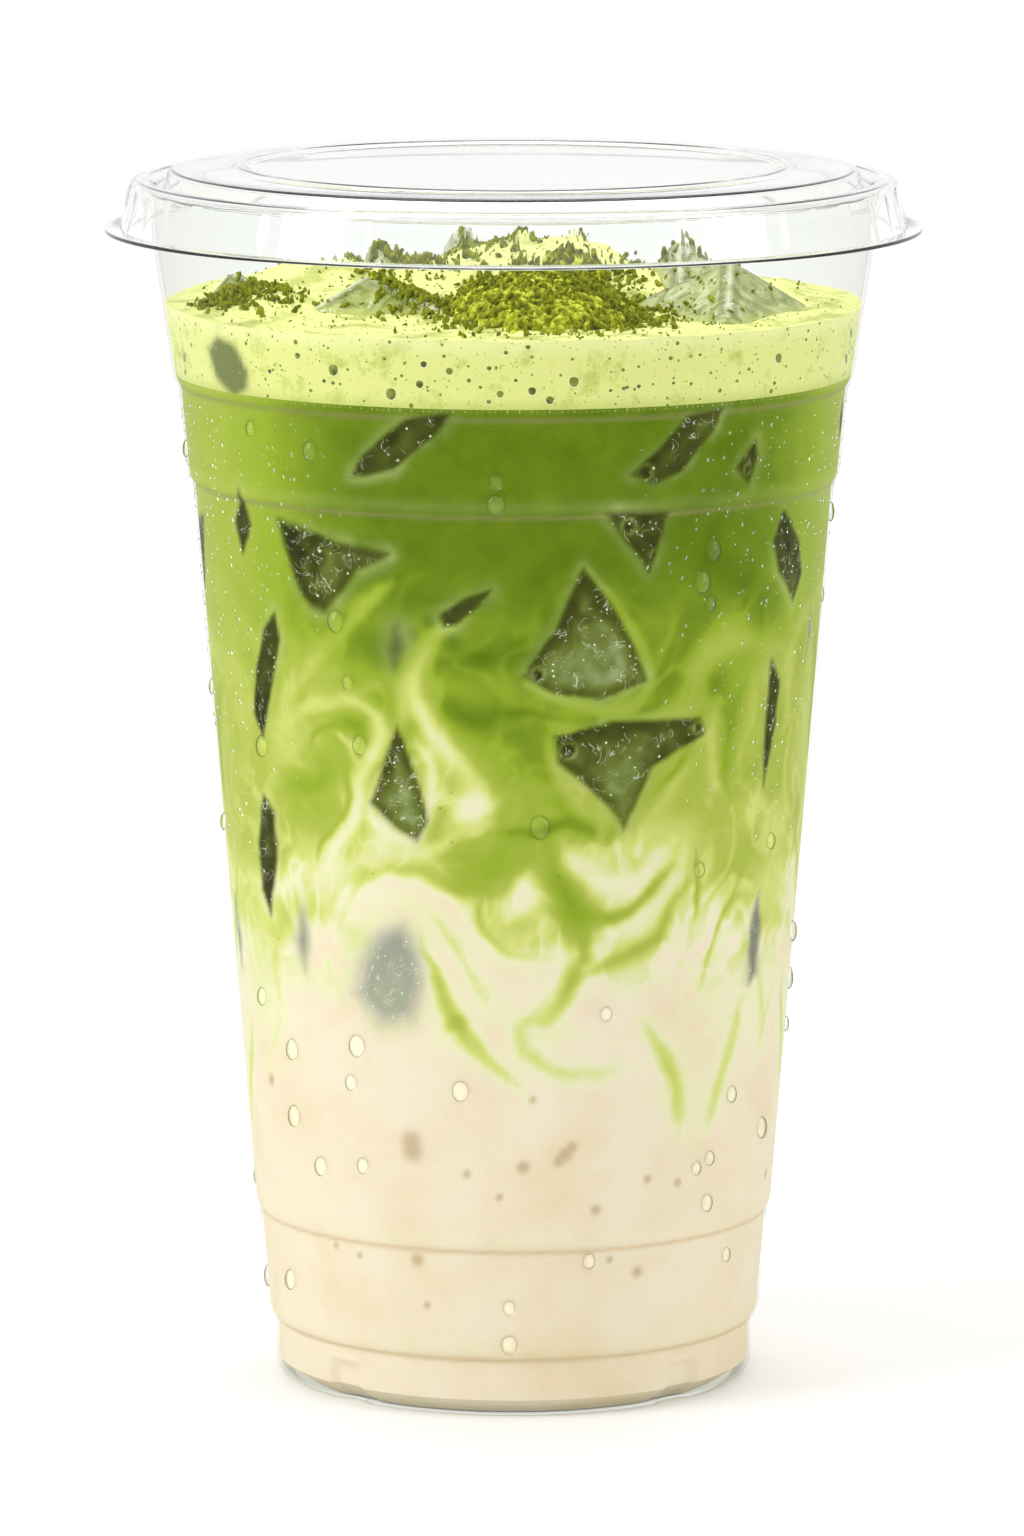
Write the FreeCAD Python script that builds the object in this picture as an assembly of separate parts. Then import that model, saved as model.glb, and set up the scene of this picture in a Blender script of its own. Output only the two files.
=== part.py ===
import FreeCAD, Part
import math
import os

# Iced matcha latte in a clear takeaway cup with a flat clear lid.
# Millimetres, +Z up, origin at the centre of the ring that the cup stands on.

# ---- Cup: thermoformed, one thin wall with four stacking ledges ----
CUP_HEIGHT = 158.3            # base to the top of the rolled rim
FOOT_RADIUS = 31.45           # outside of the straight foot
CUP_WALL = 0.5
FOOT_CORNER = 2.4             # rounding between the foot and the ring it stands on
BASE_RECESS = 2.5             # height of the raised floor above the ring
RING_WIDTH = 1.6              # flat width of the standing ring
RECESS_SLOPE = 1.4            # how far the recess wall leans in

# Each ledge: (height of its crease, how far the wall steps out, height of its rounding)
FOOT_LEDGE = (7.6, 1.19, 2.45)
LOWER_LEDGE = (22.3, 0.79, 2.45)
UPPER_LEDGE = (119.1, 0.78, 2.0)
FOAM_LEDGE = (131.8, 0.96, 3.1)
# Lean of the wall above each ledge, in mm outwards for each mm up
LOWER_BAND_LEAN = 0.083
MAIN_WALL_LEAN = 0.0805
UPPER_BAND_LEAN = 0.0927
COLLAR_LEAN = 0.147
# A ledge's rounding passes this share of its step out and of its height up
LEDGE_BULGE = (0.72, 0.34)

BEAD_RADIUS = 1.5             # section of the rolled rim
BEAD_REACH = 0.6              # how far the bead's middle lies inside the wall's outer side

LUG_COUNT = 4                 # soft upright recesses round the foot
LUG_FIRST_ANGLE = 45.0
LUG_DEPTH = 0.9
LUG_WIDTH = 6.9
LUG_HEIGHT = 6.2

# ---- Lid: thin clear sheet, pressed over the rim ----
LID_SHEET = 0.45
LID_CLEARANCE = 0.05          # lid above the rim
SKIRT_CLEARANCE = 0.9         # skirt outside the bead
SKIRT_FLARE = 1.3             # how much wider the skirt is at its foot
SKIRT_DROP = 6.3              # from the underside of the channel to the brim
BRIM_WIDTH = 2.3
PLUG_CLEARANCE = 0.3          # plug wall inside the cup wall
PLUG_DEPTH = 1.3              # how far the channel's inner wall comes down
PANEL_EDGE_WIDTH = 1.9        # flat between the plug wall and the step
PANEL_RISE = 2.6              # the middle of the lid above that flat
PANEL_STEP_LEAN = 0.6
PANEL_RING_INSET = 8.0        # a low ring pressed in the panel
PANEL_RING_WIDTH = 1.6
PANEL_RING_RISE = 0.5

# ---- Contents ----
FOAM_BELOW_RIM = 16.0         # rim to where the foam meets the wall
FOAM_DEPTH = 9.3
MILK_DEPTH = 62.0             # mean height of the milk below the green tea
MILK_WAVE = 9.0               # how far the border between them wanders
MILK_WAVE_COUNTS = (3, 5)     # waves round the cup
MILK_WAVE_SHARE = 0.6         # height of the finer waves beside the broader ones
MILK_WAVE_TURN = 1.0          # turn of the finer waves, in radians
SURFACE_CELL = 6.0            # spacing of the points that carry the uneven surfaces

# Foam mounds: (angle, distance from the middle, height, spread)
FOAM_MOUNDS = [
    (78.0, 27.0, 5.6, 15.0),
    (20.0, 27.0, 3.2, 11.0),
    (150.0, 28.0, 4.6, 12.0),
    (196.0, 34.0, 3.0, 8.0),
    (262.0, 16.0, 1.4, 12.0),
    (110.0, 14.0, 3.2, 12.0),
]

# Ice that breaks the surface: name, angle, distance from the middle,
# centre above the foam level, size of the block, and yaw, pitch and roll.
ICE_BLOCKS = [
    ("ice_front_left", 212.0, 17.36, -8.6, (19.5, 18.5, 19.0), (70.5, 23.8, 36.0)),
    ("ice_front_right", 338.0, 29.86, -6.6, (21.0, 20.0, 19.5), (25.0, 42.0, 38.0)),
    ("ice_back_right", 24.0, 26.36, -5.2, (18.0, 19.0, 17.0), (12.0, 34.0, 22.0)),
    ("ice_back_left", 137.0, 18.36, -6.4, (17.0, 17.5, 16.0), (30.0, 20.0, 30.0)),
    ("ice_back", 97.0, 32.36, -6.0, (18.0, 17.0, 17.5), (8.0, 28.0, 12.0)),
    ("ice_left", 187.0, 32.86, -8.6, (17.0, 18.0, 17.0), (52.0, 32.0, 24.0)),
]
ICE_ROUNDING = 1.6

# Powder heaps: name, angle, distance from the middle, half width, half depth, height
POWDER_HEAPS = [
    ("matcha_heap", 284.0, 17.0, 13.5, 22.0, 4.8),
    ("matcha_heap_back", 50.0, 12.5, 5.6, 6.5, 2.6),
]
HEAP_RIM = 0.4                # height of a heap's edge
HEAP_FALL = 1.6               # how fast a heap falls off towards its edge
HEAP_LOBES = 5
HEAP_LOBE_DEPTH = 0.12

# ---- Worked out from the sizes above ----
FOAM_TOP = CUP_HEIGHT - FOAM_BELOW_RIM
FOAM_BOTTOM = FOAM_TOP - FOAM_DEPTH
RIM_BASE = CUP_HEIGHT - BEAD_RADIUS
UP = FreeCAD.Vector(0, 0, 1)
CENTRE = FreeCAD.Vector(0, 0, 0)
FULL_TURN = 360.0
OVERSIZE = 2.0                # how far a cutting tool runs past what it cuts
SAME_POINT = 1e-6             # points closer than this are one point


def point(radius, height):
    """A point of a profile, in the XZ plane."""
    return FreeCAD.Vector(radius, 0, height)


def polar(angle, distance, height=0.0):
    """A place inside the cup, by its angle and distance from the axis."""
    turn = math.radians(angle)
    return FreeCAD.Vector(distance * math.cos(turn), distance * math.sin(turn), height)


def wall_stations():
    """Crease and rounded corner of each ledge, from the foot up, as radii and heights."""
    stations = []
    radius = FOOT_RADIUS
    ledges = [FOOT_LEDGE, LOWER_LEDGE, UPPER_LEDGE, FOAM_LEDGE]
    leans = [LOWER_BAND_LEAN, MAIN_WALL_LEAN, UPPER_BAND_LEAN, COLLAR_LEAN]
    below = FOOT_LEDGE[0]
    lean = 0.0
    for (crease, step, rounding), next_lean in zip(ledges, leans):
        radius += lean * (crease - below)
        corner = (radius + step, crease + rounding)
        stations.append(((radius, crease), corner, next_lean))
        radius, below = corner
        lean = next_lean
    return stations


STATIONS = wall_stations()


def wall_radius(height):
    """Outer radius of the cup wall at a height, leaving out the roundings."""
    radius = FOOT_RADIUS
    for (crease_radius, crease), (corner_radius, corner), lean in STATIONS:
        if height >= corner:
            radius = corner_radius + lean * (height - corner)
        elif height >= crease:
            part = (height - crease) / (corner - crease)
            radius = crease_radius + part * (corner_radius - crease_radius)
    return radius


def profile_face(edges, top_radius, top, bottom):
    """Close a profile along the axis and make it a face."""
    points = [point(top_radius, top), point(0, top), point(0, bottom), edges[0].Vertexes[0].Point]
    closing = [Part.LineSegment(a, b).toShape() for a, b in zip(points, points[1:])
               if (a - b).Length > SAME_POINT]
    wire = Part.Wire(Part.__sortEdges__(edges + closing))
    return Part.Face(wire)


def wall_edges(inset, bottom, top):
    """The cup's side from the foot corner up: straight bands joined by rounded ledges."""
    edges = []
    corner = FOOT_CORNER - inset
    radius = FOOT_RADIUS - inset
    foot_top = bottom + corner
    bend = corner * (1 - math.sqrt(0.5))
    start = point(radius - corner, bottom)
    middle = point(radius - bend, bottom + bend)
    last = point(radius, foot_top)
    edges.append(Part.Arc(start, middle, last).toShape())
    bulge_out, bulge_up = LEDGE_BULGE
    for (crease_radius, crease), (corner_radius, corner_height), _ in STATIONS:
        low = point(crease_radius - inset, crease)
        high = point(corner_radius - inset, corner_height)
        edges.append(Part.LineSegment(last, low).toShape())
        reach_x = high.x - low.x
        reach_z = high.z - low.z
        bulge = point(low.x + bulge_out * reach_x, low.z + bulge_up * reach_z)
        edges.append(Part.Arc(low, bulge, high).toShape())
        last = high
    lean = STATIONS[-1][2]
    end = point(last.x + lean * (top - last.z), top)
    edges.append(Part.LineSegment(last, end).toShape())
    return edges, end.x


def turned(face):
    return face.revolve(CENTRE, UP, FULL_TURN)


def foot_lugs(inset):
    """Upright rounded grooves round the foot, deeper by the wall for the inside."""
    half = LUG_WIDTH / 2
    groove_radius = (half ** 2 + LUG_DEPTH ** 2) / (2 * LUG_DEPTH)
    away = FOOT_RADIUS - LUG_DEPTH + groove_radius
    lugs = []
    for index in range(LUG_COUNT):
        angle = LUG_FIRST_ANGLE + index * FULL_TURN / LUG_COUNT
        foot = polar(angle, away, -OVERSIZE)
        height = LUG_HEIGHT + OVERSIZE + inset
        lugs.append(Part.makeCylinder(groove_radius + inset, height, foot, UP))
    return lugs


def recess(extra):
    """The hollow under the cup, wider and higher by the wall for the inside."""
    radius = FOOT_RADIUS - FOOT_CORNER - RING_WIDTH + extra
    top_radius = radius - RECESS_SLOPE
    cone = Part.makeCone(radius, top_radius, BASE_RECESS + extra, CENTRE, UP)
    if extra == 0.0:
        skirt = Part.makeCylinder(radius, OVERSIZE, polar(0, 0, -OVERSIZE), UP)
        cone = cone.fuse(skirt)
    return cone


def cup_inside(top):
    """The space inside the cup up to a height."""
    edges, end_radius = wall_edges(CUP_WALL, CUP_WALL, top)
    space = turned(profile_face(edges, end_radius, top, CUP_WALL))
    return space.cut(foot_lugs(CUP_WALL) + [recess(CUP_WALL)])


def make_cup():
    edges, end_radius = wall_edges(0.0, 0.0, RIM_BASE)
    outside = turned(profile_face(edges, end_radius, RIM_BASE, 0.0))
    shell = outside.cut(foot_lugs(0.0) + [recess(0.0), cup_inside(RIM_BASE)])
    bead = Part.makeTorus(bead_centre_radius(), BEAD_RADIUS, polar(0, 0, RIM_BASE), UP)
    bore = Part.makeCylinder(bead_bore_radius(), 2 * BEAD_RADIUS + OVERSIZE,
                             polar(0, 0, RIM_BASE - BEAD_RADIUS - OVERSIZE / 2), UP)
    bead = bead.cut(bore)
    return shell.fuse(bead).removeSplitter().Solids[0]


def bead_bore_radius():
    """The bead is flush with the inside of the wall at its own height."""
    return wall_radius(RIM_BASE) - CUP_WALL


def bead_centre_radius():
    return wall_radius(RIM_BASE) - BEAD_REACH


def bead_outer_radius():
    return bead_centre_radius() + BEAD_RADIUS


def make_lid():
    """Brim, skirt over the bead, channel that sits on the rim, step and raised panel."""
    roof = CUP_HEIGHT + LID_CLEARANCE
    skirt_top = bead_outer_radius() + SKIRT_CLEARANCE
    skirt_foot = skirt_top + SKIRT_FLARE
    brim = roof - SKIRT_DROP
    plug = bead_bore_radius() - PLUG_CLEARANCE
    flat_edge = plug - PANEL_EDGE_WIDTH
    flat = roof - PLUG_DEPTH
    panel = flat + PANEL_RISE
    ring_out = flat_edge - PANEL_STEP_LEAN - PANEL_RING_INSET
    ring_in = ring_out - PANEL_RING_WIDTH
    ring = panel + PANEL_RING_RISE
    slope = PANEL_RING_RISE
    under = [
        (skirt_foot + BRIM_WIDTH, brim),
        (skirt_foot, brim),
        (skirt_top, roof - LID_SHEET),
        (skirt_top - LID_SHEET, roof),
        (plug + LID_SHEET, roof),
        (plug, roof - LID_SHEET),
        (plug, flat),
        (flat_edge, flat),
        (flat_edge - PANEL_STEP_LEAN, panel),
        (ring_out, panel),
        (ring_out - slope, ring),
        (ring_in, ring),
        (ring_in - slope, panel),
        (0, panel),
    ]
    outer = lid_sheet_over(under)
    points = [point(r, z) for r, z in under + outer]
    wire = Part.makePolygon(points + [points[0]])
    return turned(Part.Face(wire))


def lid_sheet_over(under):
    """The lid's upper side: the lower side moved out by the sheet along its normals."""
    over = []
    count = len(under)
    for index in range(count):
        here = under[index]
        before = under[max(index - 1, 0)]
        after = under[min(index + 1, count - 1)]
        normals = []
        for start, end in ((before, here), (here, after)):
            run = (end[0] - start[0], end[1] - start[1])
            length = math.hypot(*run)
            if length > 0:
                normals.append((run[1] / length, -run[0] / length))
        mean = [sum(n[axis] for n in normals) / len(normals) for axis in (0, 1)]
        spread = mean[0] ** 2 + mean[1] ** 2
        shift = LID_SHEET / spread
        over.append((here[0] + shift * mean[0], here[1] + shift * mean[1]))
    over[-1] = (0, under[-1][1] + LID_SHEET)
    return list(reversed(over))


def surface(height_at, reach):
    """A smooth uneven face through points on a square grid."""
    count = 2 * math.ceil(reach / SURFACE_CELL) + 1
    cell = 2 * reach / (count - 1)
    grid = []
    for i in range(count):
        x = -reach + i * cell
        grid.append([FreeCAD.Vector(x, -reach + j * cell, height_at(x, -reach + j * cell))
                     for j in range(count)])
    sheet = Part.BSplineSurface()
    sheet.interpolate(grid)
    return sheet.toShape()


def below(height_at, reach, depth):
    """Everything under an uneven surface, down to a depth."""
    return surface(height_at, reach).extrude(UP * -depth)


def foam_height(x, y):
    height = FOAM_TOP
    for angle, distance, rise, spread in FOAM_MOUNDS:
        middle = polar(angle, distance)
        away = math.hypot(x - middle.x, y - middle.y)
        height += rise * math.exp(-(away / spread) ** 2)
    return height


def milk_height(x, y):
    """The milk's uneven top: waves that grow towards the wall."""
    angle = math.atan2(y, x)
    reach = math.hypot(x, y) / wall_radius(MILK_DEPTH)
    few, many = MILK_WAVE_COUNTS
    finer = MILK_WAVE_SHARE * math.sin(many * angle + MILK_WAVE_TURN)
    wave = (math.sin(few * angle) + finer) / (1 + MILK_WAVE_SHARE)
    return MILK_DEPTH + MILK_WAVE * min(reach, 1.0) ** 2 * wave


def make_ice(angle, distance, rise, size, turns, cavity):
    """One tumbled block with rounded edges, flat where it presses on the wall."""
    place = polar(angle, distance, FOAM_TOP + rise)
    block = Part.makeBox(*size, FreeCAD.Vector(*[-side / 2 for side in size]))
    block = block.makeFillet(ICE_ROUNDING, block.Edges)
    block.Placement = FreeCAD.Placement(place, FreeCAD.Rotation(*turns))
    return block.common(cavity)


def make_heap(angle, distance, half_width, half_depth, height, foam, ices):
    """A low heap of powder with a lobed foot, lying on the foam and round the ice."""
    middle = polar(angle, distance)

    def shape(x, y):
        return math.hypot((x - middle.x) / half_width, (y - middle.y) / half_depth)

    def top(x, y):
        return foam_height(x, y) + HEAP_RIM + height * math.exp(-HEAP_FALL * shape(x, y) ** 2)

    rim = []
    for index in range(4 * HEAP_LOBES):
        turn = 2 * math.pi * index / (4 * HEAP_LOBES)
        lobe = 1 - HEAP_LOBE_DEPTH * (1 + math.cos(HEAP_LOBES * turn)) / 2
        rim.append(FreeCAD.Vector(middle.x + lobe * half_width * math.cos(turn),
                                  middle.y + lobe * half_depth * math.sin(turn),
                                  FOAM_BOTTOM))
    outline = Part.BSplineCurve()
    outline.interpolate(Points=rim, PeriodicFlag=True)
    column = Part.Face(Part.Wire(outline.toShape())).extrude(UP * (CUP_HEIGHT - FOAM_BOTTOM))
    reach = wall_radius(FOAM_TOP)
    heap = below(top, reach, CUP_HEIGHT - FOAM_BOTTOM).common(column)
    return heap.cut([foam] + ices)


def largest_solid(shape):
    return max(shape.Solids, key=lambda solid: solid.Volume)


def main():
    os.makedirs("parts", exist_ok=True)
    nodes = {}
    cavity = cup_inside(RIM_BASE)
    reach = wall_radius(RIM_BASE)
    depth = CUP_HEIGHT

    ices = []
    for name, *rest in ICE_BLOCKS:
        block = make_ice(*rest, cavity)
        for other in ices:
            block = block.cut(other)
        block = largest_solid(block)
        ices.append(block)
        nodes[name] = block

    under_foam_top = cavity.common(below(foam_height, reach, depth))
    split = Part.makeCylinder(reach, depth, polar(0, 0, FOAM_BOTTOM), UP)
    drink = under_foam_top.cut(split)
    milk_space = below(milk_height, reach, depth)
    nodes["milk"] = largest_solid(drink.common(milk_space).cut(ices))
    nodes["matcha_latte"] = largest_solid(drink.cut([milk_space] + ices))
    foam = under_foam_top.common(split)
    nodes["foam"] = largest_solid(foam.cut(ices))
    for name, *rest in POWDER_HEAPS:
        nodes[name] = largest_solid(make_heap(*rest, foam, ices))

    nodes["cup"] = make_cup()
    nodes["lid"] = make_lid()
    for name, shape in nodes.items():
        box = shape.BoundBox
        print(name, shape.ShapeType, len(shape.Solids), shape.isValid(), round(shape.Volume, 1),
              [round(v, 2) for v in (box.XMin, box.YMin, box.ZMin, box.XMax, box.YMax, box.ZMax)])
        shape.exportStep(os.path.join("parts", name + ".step"))


main()
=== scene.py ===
import math

import bmesh
import bpy
import numpy as np
from mathutils import Euler, Matrix, Vector
from mathutils.bvhtree import BVHTree


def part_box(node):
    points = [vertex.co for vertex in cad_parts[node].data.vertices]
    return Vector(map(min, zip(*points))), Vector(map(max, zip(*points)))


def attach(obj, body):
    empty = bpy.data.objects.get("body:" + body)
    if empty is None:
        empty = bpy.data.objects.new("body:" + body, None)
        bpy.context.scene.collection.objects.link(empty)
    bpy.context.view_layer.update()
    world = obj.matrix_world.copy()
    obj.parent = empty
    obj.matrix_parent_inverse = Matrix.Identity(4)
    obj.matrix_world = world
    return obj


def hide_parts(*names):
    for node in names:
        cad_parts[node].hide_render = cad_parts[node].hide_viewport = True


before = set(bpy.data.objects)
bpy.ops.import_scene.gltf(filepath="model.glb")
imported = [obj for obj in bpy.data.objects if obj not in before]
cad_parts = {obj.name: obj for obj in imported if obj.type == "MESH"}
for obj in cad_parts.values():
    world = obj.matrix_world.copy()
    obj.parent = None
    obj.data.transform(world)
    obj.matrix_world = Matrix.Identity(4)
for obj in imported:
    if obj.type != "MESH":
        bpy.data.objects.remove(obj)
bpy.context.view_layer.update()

bl_info = {
    "name": "Iced matcha latte",
    "version": (1, 0, 0),
    "blender": (4, 5, 0),
    "location": "View3D > Sidebar > Iced latte",
    "description": "Makes a layered iced matcha latte in a clear lidded takeaway cup.",
    "category": "Add Mesh",
}

# Everything is built in millimetres and written to the meshes in metres.
MM = 0.001
BODY = "root"
RIM_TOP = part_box("cup")[1][2] / MM
TURN = 2 * math.pi


# ---------------------------------------------------------------- settings

def length(name, description, default):
    """A length property whose default is given in millimetres."""
    return bpy.props.FloatProperty(
        name=name, description=description, default=default * MM, unit="LENGTH", precision=5)


def number(name, description, default, least=0):
    """A whole number property."""
    return bpy.props.IntProperty(
        name=name, description=description, default=default, min=least)


class CupSizes(bpy.types.PropertyGroup):
    """Sizes of the cup and its lid."""
    foot_radius: length("Foot radius", "Outside of the straight foot", 31.45)
    wall: length("Wall", "Thickness of the cup's sheet", 0.5)
    sheet: length("Lid sheet", "Thickness of the lid's sheet", 0.45)
    flute_count: number("Flutes", "Upright flutes round the lid's skirt", 45, 3)
    flute_depth: length("Flute depth", "How deep each flute is pressed", 0.34)
    segments: number("Segments", "Faces round the cup", 288, 24)


class DrinkSizes(bpy.types.PropertyGroup):
    """Levels and texture sizes of the drink."""
    foam_below_rim: length("Foam below rim", "From the rim to where the foam meets the wall", 16.0)
    foam_depth: length("Foam depth", "Thickness of the foam layer at the wall", 9.3)
    milk_depth: length("Milk depth", "Mean height of the milk under the green tea", 62.0)
    bite: length("Bite", "How far the drink reaches into the cup's wall", 0.2)
    cell: length("Cell", "Spacing of the points that carry the marbling", 0.48)


class ToppingSizes(bpy.types.PropertyGroup):
    """Sizes of the powder, the droplets and the bubbles."""
    grain: length("Powder clump", "Mean size of a clump of powder", 0.75)
    droplet: length("Droplet", "Mean width of a water droplet on the cup", 2.0)
    mist: length("Mist", "Mean width of the finest droplets", 0.36)
    seed: number("Seed", "Seed of everything that is scattered", 7)


def colour(name, description, default):
    """A colour property whose default is given as an sRGB hex value."""
    return bpy.props.FloatVectorProperty(
        name=name, description=description, default=linear(default), size=4,
        subtype="COLOR", min=0.0, max=1.0)


def linear(text):
    """The linear colour of an sRGB hex value such as #6c8507."""
    parts = [int(text[start:start + 2], 16) / 255 for start in (1, 3, 5)]
    parts = [part / 12.92 if part <= 0.04045 else ((part + 0.055) / 1.055) ** 2.4
             for part in parts]
    return (*parts, 1.0)


class Colours(bpy.types.PropertyGroup):
    """Colours of the drink and its toppings."""
    milk: colour("Milk", "Cream-coloured milk at the bottom", "#f0e3ca")
    cloud: colour("Cloud", "Palest milk clouds in the marbling", "#eae8c0")
    wisp: colour("Wisp", "Milk just tinted by the tea", "#d2d878")
    blend: colour("Blend", "Tea half mixed with milk", "#aebb4c")
    leaf: colour("Leaf", "Tea with a little milk", "#91a92a")
    deep: colour("Deep", "Deepest green of the tea", "#587405")
    foam: colour("Foam", "Pale foam at the wall", "#dfe48c")
    bubble: colour("Bubble", "Dark middle of a foam bubble", "#66721a")
    # The powder's colours are painted light and shade: a lit side, and painted shade in its
    # crevices.
    powder: colour("Powder", "Lit side of the powder", "#979c12")
    powder_shade: colour("Powder shade", "Crevices of the powder", "#333a02")
    # Ice against the wall is painted as shaded windows: dark where the shaded drink shows through
    # the clear ice.
    ice_window_shade: colour("Ice window", "Ice seen through the wall in the tea", "#4a5018")
    ice_darkest_shade: colour("Ice shade", "Darkest edge of such ice", "#2c2f08")


# ---------------------------------------------------------------- shape of the cup

# Each ledge: height of its crease, step outwards, height of its rounding, lean above it.
LEDGES = [
    (7.6, 1.19, 2.45, 0.083),
    (22.3, 0.79, 2.45, 0.0805),
    (119.1, 0.78, 2.0, 0.0927),
    (131.8, 0.96, 3.1, 0.147),
]
FOOT_CORNER = 2.4
BASE_RECESS = 2.5
RING_WIDTH = 1.6
RECESS_SLOPE = 1.4
BEAD_RADIUS = 1.5
BEAD_REACH = 0.6
RIM_BASE = RIM_TOP - BEAD_RADIUS
LUG_COUNT = 4
LUG_WIDTH = 6.9
LUG_DEPTH = 0.9
LUG_HEIGHT = 6.2

# Underside of the lid: distances from the bead's outside and from the rim's top.
LID_CLEARANCE = 0.05
SKIRT_CLEARANCE = 0.9
SKIRT_FLARE = 1.3
SKIRT_DROP = 6.3
BRIM_WIDTH = 2.3
PLUG_CLEARANCE = 0.3
PLUG_DEPTH = 1.3
PANEL_EDGE_WIDTH = 1.9
PANEL_RISE = 2.6
PANEL_STEP_LEAN = 0.6
PANEL_RING_INSET = 8.0
PANEL_RING_WIDTH = 1.6
PANEL_RING_RISE = 0.5

# Waves of the border between milk and tea: height, counts, share and turn of the finer.
MILK_WAVE = 9.0
MILK_WAVE_COUNTS = (3, 5)
MILK_WAVE_SHARE = 0.6
MILK_WAVE_TURN = 1.0
# How far the tea reaches up into the foam.
TEA_LAP = 0.4
# Mounds of the foam: angle, distance from the middle, height, spread.
FOAM_MOUNDS = [
    (78.0, 27.0, 5.6, 15.0),
    (20.0, 27.0, 3.2, 11.0),
    (150.0, 28.0, 4.6, 12.0),
    (196.0, 34.0, 3.0, 8.0),
    (262.0, 16.0, 1.4, 12.0),
    (110.0, 14.0, 3.2, 12.0),
]
# Ice that breaks the surface: node, angle, distance from the middle, rise above the
# foam level, size, and yaw, pitch and roll.
ICE_BLOCKS = [
    ("ice_front_left", 212.0, 17.36, -8.6, (19.5, 18.5, 19.0), (70.5, 23.8, 36.0)),
    ("ice_front_right", 338.0, 29.86, -6.6, (21.0, 20.0, 19.5), (25.0, 42.0, 38.0)),
    ("ice_back_right", 24.0, 26.36, -5.2, (18.0, 19.0, 17.0), (12.0, 34.0, 22.0)),
    ("ice_back_left", 137.0, 18.36, -6.4, (17.0, 17.5, 16.0), (30.0, 20.0, 30.0)),
    ("ice_back", 97.0, 32.36, -6.0, (18.0, 17.0, 17.5), (8.0, 28.0, 12.0)),
    ("ice_left", 187.0, 32.86, -8.6, (17.0, 18.0, 17.0), (52.0, 32.0, 24.0)),
]
ICE_ROUNDING = 1.6
# How much of a block's height above the foam has melted off.
MELTED = {"ice_front_left_block": 0.25, "ice_front_right_block": 0.36,
          "ice_back_right_block": 0.35, "ice_back_block": 0.25, "ice_left_block": 0.15}
# How much wider a block has slumped above the foam.
SLUMPED = {"ice_front_left_block": 0.4}
# Powder heaps: node, angle, distance from the middle, half width, half depth, height.
POWDER_HEAPS = [
    ("matcha_heap", 284.0, 17.0, 13.5, 22.0, 4.8),
    ("matcha_heap_back", 50.0, 12.5, 5.6, 6.5, 2.6),
]


def arc(start, end, bulge, count):
    """Points from start to end along a quadratic curve drawn towards bulge."""
    points = []
    for index in range(1, count + 1):
        t = index / count
        points.append(tuple((1 - t) ** 2 * a + 2 * t * (1 - t) * b + t * t * c
                            for a, b, c in zip(start, bulge, end)))
    return points


def line(start, end, step=3.0):
    """Points from start to end, without start, about a step apart."""
    count = max(1, math.ceil(math.dist(start, end) / step))
    return [tuple(a + (b - a) * i / count for a, b in zip(start, end))
            for i in range(1, count + 1)]


def side_outline(foot_radius, inset, top):
    """The cup's side as radii and heights, from the foot's ring up to a height."""
    corner = FOOT_CORNER - inset
    radius = foot_radius - inset
    points = [(radius - corner, inset)]
    points += arc(points[-1], (radius, inset + corner), (radius, inset), 6)
    crease_radius = foot_radius
    below, lean = LEDGES[0][0], 0.0
    for crease, step, rounding, next_lean in LEDGES:
        crease_radius += lean * (crease - below)
        low = (crease_radius - inset, crease)
        high = (crease_radius + step - inset, crease + rounding)
        points += line(points[-1], low)
        bend = (high[0] - next_lean * rounding * 0.5, low[1] + 0.18 * rounding)
        points += arc(low, high, bend, 6)
        crease_radius += step
        below, lean = crease + rounding, next_lean
    end = (points[-1][0] + lean * (top - below), top)
    points += line(points[-1], end)
    return points


def wall_radius(cup, heights, inset=0.0):
    """Radius of the cup's side at some heights."""
    outline = side_outline(cup.foot_radius / MM, 0.0, RIM_BASE)
    radii, levels = zip(*outline)
    return np.interp(heights, levels, radii) - inset


def revolve(name, outline, segments, dent=None):
    """A closed outline of radii and heights turned about the axis into a closed mesh."""
    outline = np.array(outline)
    angles = np.arange(segments) * TURN / segments
    rows = len(outline)
    radius = np.repeat(outline[:, 0][:, None], segments, axis=1)
    height = np.repeat(outline[:, 1][:, None], segments, axis=1)
    angle = np.repeat(angles[None, :], rows, axis=0)
    if dent is not None:
        radius = radius - dent(angle, radius, height)
    points = np.stack([radius * np.cos(angle), radius * np.sin(angle), height], axis=-1)
    faces = []
    for row in range(rows):
        after = (row + 1) % rows
        for seg in range(segments):
            side = (seg + 1) % segments
            faces.append((row * segments + seg, row * segments + side,
                          after * segments + side, after * segments + seg))
    return mesh_object(name, points.reshape(-1, 3), faces)


def mesh_object(name, points, faces, smooth=True):
    """A new object whose mesh holds these points, given in millimetres."""
    mesh = bpy.data.meshes.new(name)
    mesh.from_pydata((np.asarray(points) * MM).tolist(), [], faces)
    mesh.validate()
    if smooth:
        mesh.shade_smooth()
    made = bpy.data.objects.new(name, mesh)
    bpy.context.collection.objects.link(made)
    return made


def tidy_mesh(made, merge=0.001):
    """Merge doubled points, drop empty faces and turn every face outwards."""
    work = bmesh.new()
    work.from_mesh(made.data)
    bmesh.ops.remove_doubles(work, verts=work.verts, dist=merge * MM)
    bmesh.ops.dissolve_degenerate(work, edges=work.edges, dist=merge * MM * 0.1)
    bmesh.ops.recalc_face_normals(work, faces=work.faces)
    work.to_mesh(made.data)
    work.free()
    made.data.set_sharp_from_angle(angle=math.radians(50))


def settings():
    """The four groups of settings of this scene."""
    scene = bpy.context.scene
    return scene.latte_cup, scene.latte_drink, scene.latte_topping, scene.latte_colours


# ---------------------------------------------------------------- noise and marbling

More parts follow.
